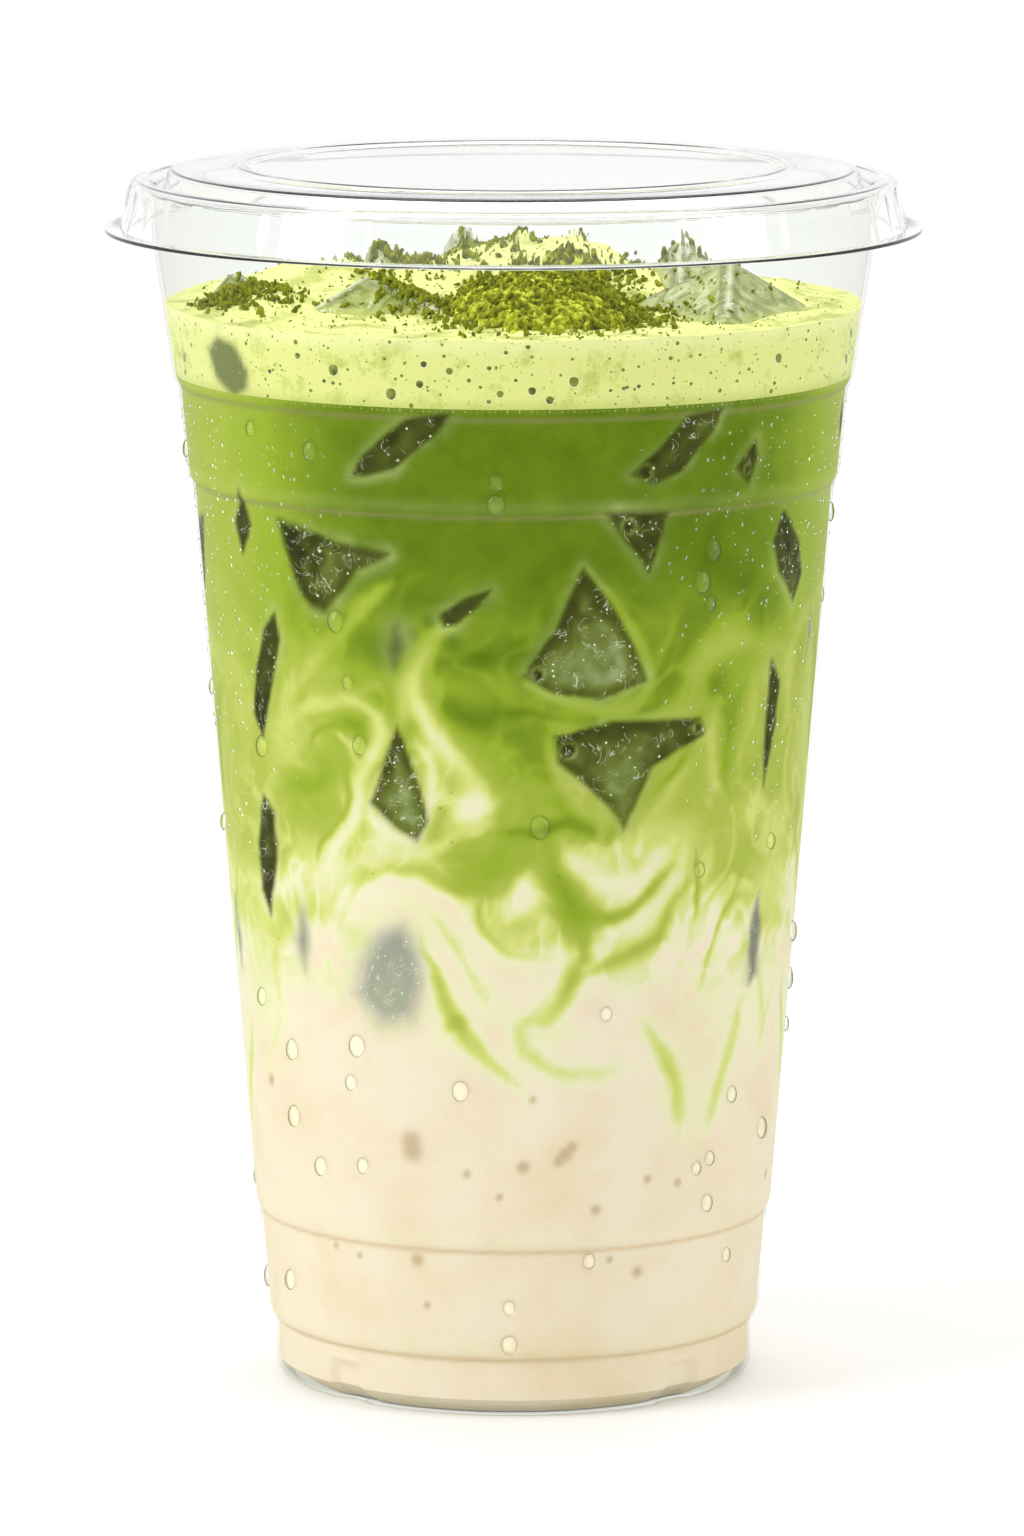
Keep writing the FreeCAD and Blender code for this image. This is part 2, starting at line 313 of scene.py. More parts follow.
class Noise:
    """Smooth gradient noise on arrays of points, always the same for one seed."""

    def __init__(self, seed):
        source = np.random.RandomState(seed)
        self.order = source.permutation(256)
        self.slopes = source.normal(size=(256, 3))
        self.slopes /= np.linalg.norm(self.slopes, axis=1)[:, None]

    def corner(self, cell, offset):
        cell = cell & 255
        order = self.order
        index = order[(order[(order[cell[..., 0]] + cell[..., 1]) & 255] + cell[..., 2]) & 255]
        return np.einsum("...i,...i->...", self.slopes[index], offset)

    def at(self, points):
        cell = np.floor(points).astype(int)
        part = points - cell
        ease = part ** 3 * (part * (part * 6 - 15) + 10)
        total = 0.0
        for bits in range(8):
            step = np.array([bits >> 2 & 1, bits >> 1 & 1, bits & 1])
            weight = np.prod(np.where(step, ease, 1 - ease), axis=-1)
            total = total + weight * self.corner(cell + step, part - step)
        return total

    def layers(self, points, count):
        """Several layers, each twice as fine and half as strong as the one before."""
        return sum(self.at(points * 2 ** k + 17.3 * k) / 2 ** k for k in range(count))


def smooth_step(low, high, value):
    part = np.clip((value - low) / (high - low), 0, 1)
    return part * part * (3 - 2 * part)


# Angles are in degrees from the side shown, positive to the right; heights in mm.
# A stroke: greenness it pulls towards, strength, half width, points along it.
STROKES = [
    (0.44, 0.75, 6.0, [(-68.5, 106.5), (-69, 93), (-71, 77.5), (-69, 66.5)]),
    (0.30, 0.70, 5.0, [(-65, 62.5), (-64, 55), (-62, 49.5)]),
    (0.34, 0.60, 3.5, [(-35.5, 97), (-43.5, 90.5), (-50.5, 84)]),
    (0.40, 0.75, 4.0, [(72, 99), (75.5, 89.5), (74.5, 80)]),
    (0.40, 0.60, 5.0, [(30, 82), (38.5, 78), (54, 75)]),
    (0.34, 0.60, 4.5, [(61.5, 79.5), (63.5, 67.5), (64, 59)]),
    (0.22, 0.50, 4.0, [(39.5, 50.5), (41.5, 42), (41.5, 37)]),
    (0.74, 0.80, 4.2, [(-9.5, 77.5), (-6, 73.5), (-0.5, 75), (4.5, 78.5)]),
    (0.86, 0.60, 6.0, [(-4, 100), (1, 94), (2.5, 87), (0, 82.5)]),
    (0.34, 0.75, 1.5, [(-35, 103.5), (-41, 99), (-46.5, 95), (-50, 90), (-52, 85.5)]),
    (0.20, 0.90, 1.6, [(-47.5, 91), (-41.5, 94), (-33.5, 95), (-28, 94),
                       (-26, 91), (-28, 87), (-31, 84), (-32.5, 80.5),
                       (-37.5, 76.5), (-42.5, 73), (-45.5, 69.5), (-47, 66)]),
    (0.22, 0.85, 0.9, [(-36, 91), (-32.5, 89.5), (-31.5, 87)]),
    (0.74, 0.85, 2.4, [(-43, 87), (-39.5, 85), (-43, 82.5), (-47.5, 82), (-47, 79.5)]),
    (0.74, 0.85, 0.5, [(-42, 88), (-41, 90), (-38, 91.5), (-34.5, 91.5), (-33, 90)]),
    (0.68, 0.85, 0.6, [(-38, 87.5), (-35, 86.5), (-33.5, 84),
                       (-33.5, 81), (-36.5, 78.5), (-41, 75.5), (-42.5, 73.5)]),
    (0.12, 0.90, 1.3, [(-30.5, 83.5), (-32, 79.5), (-37, 75.5), (-40.5, 71.5), (-42, 68)]),
    (0.42, 0.70, 1.0, [(-23, 110.5), (-26.5, 108.5), (-30.5, 105.5), (-34.5, 102)]),
    (0.45, 0.80, 1.1, [(-10, 105.5), (-14, 104), (-16.5, 101.5), (-17, 99)]),
    (0.84, 0.80, 0.6, [(-15, 112), (-20, 111), (-21.5, 108.5), (-22.5, 105.5)]),
    (0.16, 0.90, 1.9, [(-17, 102), (-18.5, 99), (-19, 96), (-17.5, 93),
                       (-15.5, 90), (-12.5, 87), (-9, 84.5), (-5, 82)]),
    (0.32, 0.75, 1.4, [(-20.5, 98), (-21.5, 94.5), (-22, 92)]),
    (0.08, 0.90, 0.9, [(-19.5, 90), (-16.5, 86.5), (-15.5, 81.5),
                       (-17, 77), (-22.5, 76.5), (-28, 79), (-28, 82)]),
    (0.38, 0.70, 0.6, [(-15, 87), (-14, 84.5), (-14.5, 82.5)]),
    (0.04, 0.90, 2.4, [(-11.5, 79), (-8, 81.5), (-4, 82.5)]),
    (0.20, 0.85, 1.3, [(-4.5, 79.5), (-9.5, 78), (-13.5, 75.5), (-19, 75),
                       (-24.5, 75), (-30, 74.5), (-35.5, 72.5), (-40, 69.5), (-41.5, 66)]),
    (0.62, 0.85, 0.9, [(-22.5, 73), (-27.5, 72), (-31, 71),
                       (-34.5, 68), (-37, 66), (-38.5, 63.5)]),
    (0.70, 0.85, 1.4, [(-23.5, 73), (-17.5, 72), (-12.5, 70.5), (-7.5, 71), (-2.5, 70)]),
    (0.02, 0.95, 2.3, [(-39, 63), (-36.5, 66.5), (-30.5, 69.5), (-24.5, 70.5),
                       (-17.5, 69.5), (-11, 67.5), (-7, 64), (-4.5, 60), (-0.5, 55.5)]),
    (0.90, 0.85, 1.0, [(-3, 78.5), (2, 78.5), (5.5, 79), (11.5, 79.5), (15.5, 78.5)]),
    (0.92, 0.80, 0.5, [(-7.5, 94.5), (-1, 94), (5, 93), (10, 92.5)]),
    (0.88, 0.60, 0.6, [(-2, 106.5), (-1.5, 103), (-4, 99)]),
    (0.52, 0.75, 1.0, [(2, 98), (8, 96), (14, 94.5), (21, 94), (26.5, 95.5)]),
    (0.40, 0.80, 1.2, [(6.5, 89), (10, 84), (14.5, 81.5), (18, 79), (19.5, 77)]),
    (0.36, 0.70, 0.8, [(-54.5, 65), (-57.5, 57), (-55, 51.5)]),
    (0.28, 0.75, 0.5, [(-18.5, 66), (-13.5, 64.5), (-9.5, 60), (-7, 56.5)]),
    (0.50, 0.85, 0.8, [(-18.5, 62), (-15.5, 57.5), (-12, 54), (-9, 50.5), (-6.5, 48.5)]),
    (0.55, 0.80, 0.5, [(-4.5, 69.5), (-6, 67.5), (-4.5, 64.5), (0, 62.5), (5, 62)]),
    (0.06, 0.92, 2.1, [(10, 77.5), (12.5, 74), (17.5, 70.5), (24, 70.5), (28.5, 74), (31.5, 76)]),
    (0.68, 0.88, 1.0, [(8, 74.5), (9.5, 71), (13, 67.5),
                       (18.5, 66.5), (25, 67.5), (29.5, 71), (32, 73)]),
    (0.10, 0.90, 1.6, [(16, 64), (22.5, 64.5), (29.5, 67), (33.5, 71), (34.5, 73.5)]),
    (0.58, 0.88, 1.1, [(13.5, 59), (20, 60.5), (26.5, 62), (31, 64.5), (33, 68.5), (39, 73)]),
    (0.78, 0.90, 1.9, [(7.5, 76), (9.5, 70.5), (12.5, 66), (14, 62)]),
    (0.62, 0.88, 1.3, [(14, 63), (12.5, 59.5), (9, 55.5), (3, 54)]),
    (0.46, 0.85, 0.9, [(4.5, 55), (1, 52.5), (2, 49.5), (8, 47), (16.5, 46), (23, 47)]),
    (0.03, 0.90, 1.7, [(4.5, 73.5), (2.5, 69.5), (1, 67)]),
    (0.34, 0.80, 0.5, [(-5.5, 68), (-4, 64.5), (1.5, 62.5), (6.5, 61.5), (10.5, 60.5)]),
    (0.02, 0.85, 3.0, [(-4.5, 60), (1.5, 58.5), (5.5, 56.5)]),
    (0.03, 0.90, 1.6, [(-20, 67.5), (-15, 64), (-12.5, 59.5),
                       (-9, 55.5), (-4.5, 50.5), (0, 46.5)]),
    (0.56, 0.88, 0.8, [(-18, 63), (-15.5, 58.5), (-12.5, 54.5),
                       (-9.5, 51), (-5.5, 48), (-1.5, 45.5), (3, 42.5)]),
    (0.70, 0.85, 0.8, [(-12.5, 54), (-10.5, 52)]),
    (0.30, 0.75, 0.5, [(-15, 66.5), (-11, 63.5), (-7.5, 58), (-5, 53.5)]),
    (0.72, 0.85, 0.7, [(22, 81), (20, 78.5), (18, 76)]),
    (0.84, 0.85, 0.8, [(10, 80.5), (14.5, 79.5), (16.5, 77)]),
    (0.60, 0.85, 0.5, [(38, 75), (39.5, 70), (39.5, 66)]),
    (0.52, 0.85, 0.5, [(53.5, 73), (51, 69), (47, 65.5), (44, 60.5), (42, 56)]),
    (0.62, 0.88, 1.1, [(27.5, 52.5), (31.5, 48.5), (35, 45), (37, 41), (38, 37)]),
    (0.52, 0.85, 1.0, [(54.5, 53.5), (53, 49), (49.5, 44), (47, 39.5), (45, 36)]),
    (0.26, 0.75, 0.5, [(39, 49.5), (46.5, 50), (53.5, 52.5)]),
    (0.36, 0.75, 0.6, [(69.5, 55), (65, 49.5), (62, 44.5)]),
    (0.36, 0.80, 1.4, [(37.5, 87), (33, 84.5), (28, 80.5), (25.5, 77.5)]),
    (0.42, 0.85, 2.6, [(33.5, 96), (36, 99.5), (41.5, 101.5), (48, 102), (55, 100.5)]),
    (0.42, 0.85, 1.6, [(55, 101.5), (61.5, 98.5), (64.5, 94), (64, 89.5), (61.5, 85)]),
    (0.80, 0.88, 1.2, [(50.5, 96.5), (47.5, 94), (45.5, 91.5),
                       (44.5, 88.5), (45, 84.5), (46.5, 80.5)]),
    (0.42, 0.80, 1.1, [(52.5, 96), (52.5, 91.5), (49.5, 88), (49, 84.5), (51.5, 81)]),
    (0.36, 0.80, 1.5, [(41.5, 93.5), (40.5, 90), (41, 85.5), (41, 81)]),
    (0.60, 0.80, 0.8, [(14, 112), (19, 107), (23.5, 102.5),
                       (25.5, 99), (24.5, 95.5), (18, 94), (11.5, 95)]),
    (0.80, 0.80, 0.5, [(36, 89), (32, 85.5), (27, 82.5)]),
]
# Where the same strokes lie again round the cup: turn, mirrored or not, lift. The
# strokes of the side shown come last and so lie on top.
STROKE_TURNS = [(128.0, -1, 3.0), (-126.0, 1, -3.0), (0.0, 1, 0.0)]

# Ice against the wall, painted as shaded windows: softness of its edge, cloudiness, mean tone of
# its painted shading, the direction in degrees that its painted lit side faces, and the corners of
# its outline.
WALL_ICE = [
    (0.55, 0.0, 0.35, -60, [(-29, 124), (-26.5, 127), (-18.3, 131.9), (-10.5, 132.9),
                            (-13, 130), (-21, 125.3)]),
    (0.50, 0.0, 0.40, -30, [(20.3, 124.6), (24.8, 127.6), (30.5, 131.8), (37.3, 132.6),
                            (35.9, 129.6), (30, 124.8), (25, 123.3)]),
    (0.60, 0.0, 0.20, 0, [(41.5, 124.5), (45.8, 127.9), (46.9, 125.6), (44.8, 122.4)]),
    (0.55, 0.0, 0.20, 90, [(-56.5, 121), (-54.5, 116), (-58, 112), (-60, 116)]),
    (0.80, 0.0, 0.40, -20, [(-47, 117.6), (-33.4, 115.6), (-22.8, 114.2), (-28.8, 112),
                            (-31.8, 109.2), (-36.4, 105.9), (-40, 106.6), (-43, 109.4)]),
    (0.60, 0.0, 0.35, 120, [(16, 119.9), (27.9, 119.6), (27, 116.3), (24.9, 111.9),
                            (20.5, 115.8)]),
    (0.50, 0.0, 0.30, -70, [(56.6, 117.9), (54, 114), (56.5, 110), (63, 105.4),
                            (66, 109), (63.5, 113.5)]),
    (0.45, 0.0, 0.25, 60, [(-49.2, 105.2), (-48.1, 101.6), (-52.4, 93.4), (-55.6, 87.9),
                           (-58.5, 91.1), (-56.7, 96.5), (-53, 102.6)]),
    (0.50, 0.0, 0.35, -60, [(-13.4, 106.6), (-8.3, 109.1), (-3.9, 110), (-6.5, 107.7),
                            (-10.2, 105.4), (-12.6, 105)]),
    (0.50, 0.0, 0.72, -60, [(12.4, 112.6), (7.1, 104.4), (1.6, 98.8), (7.9, 96.4),
                            (15.9, 95.6), (25.4, 97.6), (22.7, 102), (18, 107.6)]),
    (0.50, 0.0, 0.62, -80, [(7.6, 90.9), (18.6, 92.5), (37.2, 92.3), (38.6, 89.7),
                            (32.7, 88.3), (27, 86.2), (21.6, 78.2), (19, 81), (13.6, 84.2),
                            (8.4, 87.4)]),
    (0.50, 0.0, 0.80, -60, [(-22.1, 92), (-25.8, 85.6), (-28.4, 81.5), (-24.1, 79),
                            (-18.7, 76.8), (-16.3, 79.4), (-17.8, 84.1), (-19.9, 88)]),
    (0.55, 0.0, 0.25, 90, [(56.2, 98.6), (60, 95.3), (59.6, 89.7), (56.7, 81.5),
                           (55.6, 89.4)]),
    (0.60, 0.0, 0.25, 60, [(-57.1, 80.8), (-53.6, 78.4), (-53.4, 72.2), (-57.6, 64.4),
                           (-60.4, 67.5), (-60.5, 74.1)]),
    (2.00, 0.65, 0.6, -90, [(-31.8, 60.6), (-27.4, 64.6), (-22.3, 65.4), (-18.9, 62.2),
                            (-18.4, 57.8), (-21.3, 53.4), (-28, 52.6), (-33.6, 56)]),
    (0.90, 0.40, 0.35, -90, [(57.9, 67.2), (59.6, 63.6), (59.6, 56.4), (56.6, 55.2),
                             (55.4, 59.8), (56, 64.6)]),
    (0.50, 0.50, 0.7, 0, [(72.5, 104), (74.3, 101), (73, 97.5), (72, 101)]),
    (1.50, 0.10, 0.5, 0, [(-21.8, 105), (-20.6, 102), (-22.2, 99), (-23.0, 102)]),
    (1.80, 0.45, 0.6, 0, [(-46.8, 66), (-45.3, 62.8), (-47.2, 58.2), (-49, 61.9)]),
]
# Round bubbles held in that ice: angle, height, radius.
ICE_BUBBLES = [(10.2, 89.0, 0.95), (20.6, 117.9, 0.8), (37, 90.9, 0.6), (4.4, 98.9, 0.8),
               (44.4, 124.2, 0.6), (26, 113.6, 0.9), (23, 124.9, 0.9)]
# Larger bubbles of the foam: angle, height, radius.
FOAM_BUBBLES = [
    (-30.6, 137.9, 0.85), (-20.4, 135.2, 0.85), (-15.4, 136.6, 0.6), (-10.4, 138.4, 0.55),
    (-14.6, 139.2, 0.5), (-2.2, 135.5, 0.55), (3, 135.9, 0.6), (5.9, 134.7, 0.6),
    (9.8, 137, 0.75), (48.8, 138.4, 0.75), (-37.5, 139.4, 0.5), (-32.6, 136.4, 0.35),
    (-5.4, 136.4, 0.3), (18.2, 136.0, 0.35), (20.8, 136.2, 0.35), (16, 135.8, 0.3),
    (27, 136.4, 0.3), (42, 137.4, 0.35), (-44, 137.0, 0.4), (34, 137.4, 0.3),
]
# Loose powder: centre, spread in x and y, count, size of the clumps.
GRAIN_PATCHES = [
    (4.0, -16.0, 8.0, 11.0, 1100, 1.3), (4.0, -14.0, 12.0, 15.0, 420, 0.9),
    (-35.0, -11.0, 3.4, 3.6, 420, 1.4), (-11.5, -14.5, 2.8, 2.6, 380, 1.4),
    (12.0, -21.0, 4.0, 4.0, 220, 1.4), (-14.5, 12.0, 4.2, 4.2, 330, 1.4),
    (8.0, 10.0, 4.6, 4.6, 320, 1.3), (22.0, 20.0, 4.6, 4.2, 260, 1.2),
    (-3.0, 26.0, 4.0, 4.0, 180, 1.2), (0.0, -4.0, 22.0, 22.0, 1100, 0.55),
]
# Where that ice lies again round the cup, and how wide a part of the set is used.
ICE_TURNS = [(0.0, 1, 0.0, 90.0), (127.0, -1, 2.5, 50.0), (-124.0, -1, -2.0, 50.0)]
FOAM_ICE = (0.7, 0.0, 0.6, -90, [(-61, 138.6), (-57, 140.6), (-52, 139.8), (-49.5, 136.6),
                                 (-50.5, 134), (-54, 133), (-59, 134.8)])
# Toasty specks in the milk: angle, height, radius.
MILK_SPECKS = [
    (-22, 36.9, 1.5), (-21.8, 35.7, 1.5), (11, 35.6, 1.0), (12.4, 36.5, 0.8),
    (9.6, 34.7, 0.7), (2, 34, 0.9), (30, 31.5, 0.6), (38, 30.5, 0.6), (29, 19, 0.8),
    (22, 21, 0.5), (-22, 21, 0.9), (-10, 33, 0.6), (-63, 42, 0.8), (-44, 21.5, 0.5),
    (-37, 20.7, 0.45), (4, 43, 0.5), (-3, 30, 0.5), (18, 28, 0.7), (-20, 15, 0.5),
    (120, 33, 1.2), (140, 24, 0.7), (165, 38, 0.8), (-110, 30, 1.3), (-135, 22, 0.8),
    (-160, 34, 0.9), (95, 20, 0.6), (-90, 40, 0.5), (75, 28, 0.7),
]


def arc_offset(cup, angle, height, to_angle):
    """Distance along the wall, in mm, from an angle in degrees to arrays of angles."""
    turn = (angle - to_angle + 180) % 360 - 180
    return np.radians(turn) * wall_radius(cup, height)


def curve_points(points, steps=6):
    """A smooth run through hand-placed points."""
    points = np.array(points, float)
    padded = np.vstack([2 * points[0] - points[1], points, 2 * points[-1] - points[-2]])
    run = []
    for index in range(len(points) - 1):
        a, b, c, d = padded[index:index + 4]
        for step in range(steps):
            t = step / steps
            run.append(0.5 * (2 * b + (c - a) * t + (2 * a - 5 * b + 4 * c - d) * t * t
                              + (3 * b - a - 3 * c + d) * t ** 3))
    run.append(points[-1])
    return np.array(run)


def turned_copy(points, turn, sign, lift):
    return [(turn + sign * angle, height + lift) for angle, height in points]


def distance_to_run(cup, angle, height, run):
    """Distance to a run on the wall, and how far along it the nearest place is."""
    best = np.full(angle.shape, 1e9)
    along = np.zeros(angle.shape)
    for index in range(len(run) - 1):
        (a0, z0), (a1, z1) = run[index], run[index + 1]
        px = arc_offset(cup, angle, height, a0)
        pz = height - z0
        radius = np.interp((z0 + z1) / 2, [0, 150], [32, 46])
        vx = math.radians(a1 - a0) * radius
        vz = z1 - z0
        part = np.clip((px * vx + pz * vz) / (vx * vx + vz * vz + 1e-9), 0, 1)
        far = np.hypot(px - part * vx, pz - part * vz)
        near = far < best
        best = np.where(near, far, best)
        along = np.where(near, (index + part) / (len(run) - 1), along)
    return best, along


def distance_to_outline(cup, angle, height, corners):
    """Signed distance to a closed outline on the wall, negative inside."""
    middle = corners[0][0]
    px = arc_offset(cup, angle, height, middle)
    best = np.full(angle.shape, 1e9)
    inside = np.zeros(angle.shape, bool)
    placed = []
    for corner_angle, corner_height in corners:
        radius = float(wall_radius(cup, corner_height))
        placed.append((math.radians(corner_angle - middle) * radius, corner_height))
    for (x0, z0), (x1, z1) in zip(placed, placed[1:] + placed[:1]):
        vx, vz = x1 - x0, z1 - z0
        part = np.clip(((px - x0) * vx + (height - z0) * vz) / (vx * vx + vz * vz), 0, 1)
        best = np.minimum(best, np.hypot(px - x0 - part * vx, height - z0 - part * vz))
        crosses = (z0 > height) != (z1 > height)
        meet = x0 + (height - z0) * vx / (vz if vz else 1e-9)
        inside ^= crosses & (px < meet)
    return np.where(inside, -best, best)


def greenness(cup, angle, height, noise):
    """How green the drink is at places on its side: 0 is milk and 1 is deep tea."""
    turned = np.radians(angle)
    around = np.stack([np.sin(turned) * 40, -np.cos(turned) * 40, height], axis=-1)
    drift = noise.layers(around / 17.0, 2)
    drift_up = noise.layers(around / 15.0 + 40, 2)
    soft_angle = angle + 2.4 * drift + 0.9 * noise.layers(around / 4.5 + 60, 2)
    soft_height = height + 1.6 * drift_up + 0.6 * noise.layers(around / 4.0 + 75, 2)
    level = height + 7.0 * drift_up + 3.5 * np.cos(np.radians(angle * 6.0))
    value = 0.01 + 0.92 * smooth_step(42, 112, level)
    fold = np.sin(height / 2.6 + 7.0 * drift + angle / 16.0)
    zone = smooth_step(46, 62, height) * (1 - smooth_step(92, 116, height))
    value = value + 0.09 * zone * fold + 0.05 * noise.layers(around / 5.0 + 3, 2)
    warp = np.stack([noise.layers(around / 13.0 + k, 2) for k in (70, 80, 90)], axis=-1)
    veil = noise.layers((around + 12 * warp) / np.array([10.0, 10.0, 15.0]), 3)
    value = value - 0.17 * zone * np.exp(-(veil / 0.11) ** 2)
    weak = smooth_step(42, 70, height)
    # High up, the tea is paler at the drink's left and right than front and back: partly marbling,
    # partly painted light for the paler outline of the cloudy drink.
    aside = 0.5 - 0.5 * np.cos(2 * np.radians(angle) - 0.3)
    thin = smooth_step(0.3, 0.95, aside) * smooth_step(64, 96, height)
    value = value * (1 - 0.36 * thin)
    # The strokes are laid over, softened so that they drift with the drink.
    for turn, sign, lift in STROKE_TURNS:
        for target, strength, width, points in STROKES:
            run = curve_points(turned_copy(points, turn, sign, lift), 4)
            near = distance_near(cup, soft_angle, soft_height, run, width * 3.2)
            if near is None:
                continue
            keep, away, along = near
            taper = np.clip(np.sin(np.pi * np.clip(along, 0.03, 0.97)), 0, 1) ** 0.4
            width_here = width * (0.35 + 0.65 * taper) * (1.45 - 0.45 * weak[keep])
            shape = np.exp(-(away / width_here) ** 2)
            # Tea bleeds a little way into the milk beside each green stroke.
            bleed = np.exp(-(away / (2.2 * width + 1.2)) ** 2) * taper
            value[keep] += 0.13 * max(target - 0.3, 0) * bleed * (1 - value[keep])
            pull = strength * shape * taper
            goal = target * (0.62 + 0.38 * weak[keep])
            value[keep] += (goal - value[keep]) * pull
    return np.clip(value, 0, 1)


def distance_near(cup, angle, height, run, reach):
    """Distances to a run for the places near it only, or None."""
    middle = run[:, 0].mean()
    spread = (run[:, 0].max() - run[:, 0].min()) / 2 + math.degrees(reach / 32)
    turn = np.abs((angle - middle + 180) % 360 - 180)
    keep = (turn < spread) & (height > run[:, 1].min() - reach)
    keep &= height < run[:, 1].max() + reach
    if not keep.any():
        return None
    away, along = distance_to_run(cup, angle[keep], height[keep], run)
    return keep, away, along


def sunk_ice(cup, angle, height, noise, patches, turns):
    """Cover, halo, tone and cloudiness of the ice that lies against the wall; the tone is painted
    light and shade, and the halo is stronger on the painted lit side.
    """
    turned = np.radians(angle)
    around = np.stack([np.sin(turned) * 40, -np.cos(turned) * 40, height], axis=-1)
    ragged = 0.55 * noise.layers(around / 3.2, 3)
    mottle = noise.layers(around / 2.4 + 11, 3)
    cover = np.zeros(angle.shape)
    halo = np.zeros(angle.shape)
    tone = np.zeros(angle.shape)
    cloud = np.zeros(angle.shape)
    for turn, sign, lift, widest in turns:
        for softness, cloudiness, mean, facing, corners in patches:
            centre = np.mean([c[0] for c in corners])
            if abs(centre) > widest:
                continue
            corners = turned_copy(corners, turn, sign, lift)
            centre = np.mean([c[0] for c in corners])
            middle = np.mean([c[1] for c in corners])
            keep = np.abs((angle - centre + 180) % 360 - 180) < 28
            keep &= np.abs(height - middle) < 16
            if not keep.any():
                continue
            far = distance_to_outline(cup, angle[keep], height[keep], corners)
            far = far + ragged[keep] * min(softness, 1.0)
            here = 1 - smooth_step(-softness, softness * 0.9, far)
            dx = -arc_offset(cup, angle[keep], height[keep], centre) * sign
            dz = height[keep] - middle
            reach = max(np.ptp([c[1] for c in corners]), 6.0) / 2
            # Painted light and shade: each window is paler towards the side that its facing names
            # and darker near its edge, and its halo is stronger on that lit side.
            light = (dx * math.cos(math.radians(facing)) * -1
                     + dz * math.sin(math.radians(facing))) / reach
            deep = np.clip(-far / 2.2, 0, 1)
            shade = mean * (0.25 + 0.75 * deep) * (0.72 + 0.5 * np.clip(light, -1, 1))
            shade = shade + 0.28 * mottle[keep] * (0.3 + deep)
            side = 0.45 + 0.55 * smooth_step(-0.5, 1.0, light)
            wide = side * np.exp(-(np.maximum(far, 0) / (0.7 + 0.8 * softness)) ** 2)
            stronger = here > cover[keep]
            cloud[keep] = np.where(stronger, cloudiness, cloud[keep])
            tone[keep] = np.where(stronger, np.clip(shade, 0, 1), tone[keep])
            cover[keep] = np.maximum(cover[keep], here)
            halo[keep] = np.maximum(halo[keep], wide)
    for spot_angle, spot_height, radius in ICE_BUBBLES:
        away = np.hypot(arc_offset(cup, angle, height, spot_angle), height - spot_height)
        inside = (1 - smooth_step(radius * 0.75, radius, away)) * (cover > 0.5)
        ring = np.exp(-((away - radius * 1.15) / 0.3) ** 2) * (cover > 0.5)
        tone = tone * (1 - inside) + 0.35 * ring
    return cover, halo * (1 - cover), tone, cloud


def foam_height(drink, x, y):
    """Level of the foam's top, with its mounds, in millimetres."""
    height = RIM_TOP - drink.foam_below_rim / MM + 0 * x
    for angle, distance, rise, spread in FOAM_MOUNDS:
        turn = math.radians(angle)
        away = np.hypot(x - distance * math.cos(turn), y - distance * math.sin(turn))
        height = height + rise * np.exp(-(away / spread) ** 2)
    return height


def milk_height(drink, angle):
    """Height of the border between milk and tea at the wall; angle in radians."""
    few, many = MILK_WAVE_COUNTS
    wave = np.sin(few * angle) + MILK_WAVE_SHARE * np.sin(many * angle + MILK_WAVE_TURN)
    return drink.milk_depth / MM + MILK_WAVE * wave / (1 + MILK_WAVE_SHARE)


# ---------------------------------------------------------------- materials

def add(tree, kind, inputs=None, stops=None, **options):
    """Add one node, set its options, its ramp stops, and fill or link its inputs."""
    made = tree.nodes.new(kind)
    for name, value in options.items():
        setattr(made, name, value)
    if stops:
        elements = made.color_ramp.elements
        while len(elements) < len(stops):
            elements.new(0.5)
        for element, (position, value) in zip(elements, stops):
            element.position = position
            element.color = value
    for key, value in (inputs or {}).items():
        socket = made.inputs[key]
        if isinstance(value, bpy.types.NodeSocket):
            tree.links.new(value, socket)
        else:
            socket.default_value = value
    return made


def new_material(name):
    """An empty node material and its output node."""
    made = bpy.data.materials.new(name)
    made.use_nodes = True
    made.node_tree.nodes.clear()
    return made, made.node_tree, add(made.node_tree, "ShaderNodeOutputMaterial")


def grey(value):
    return (value, value, value, 1.0)


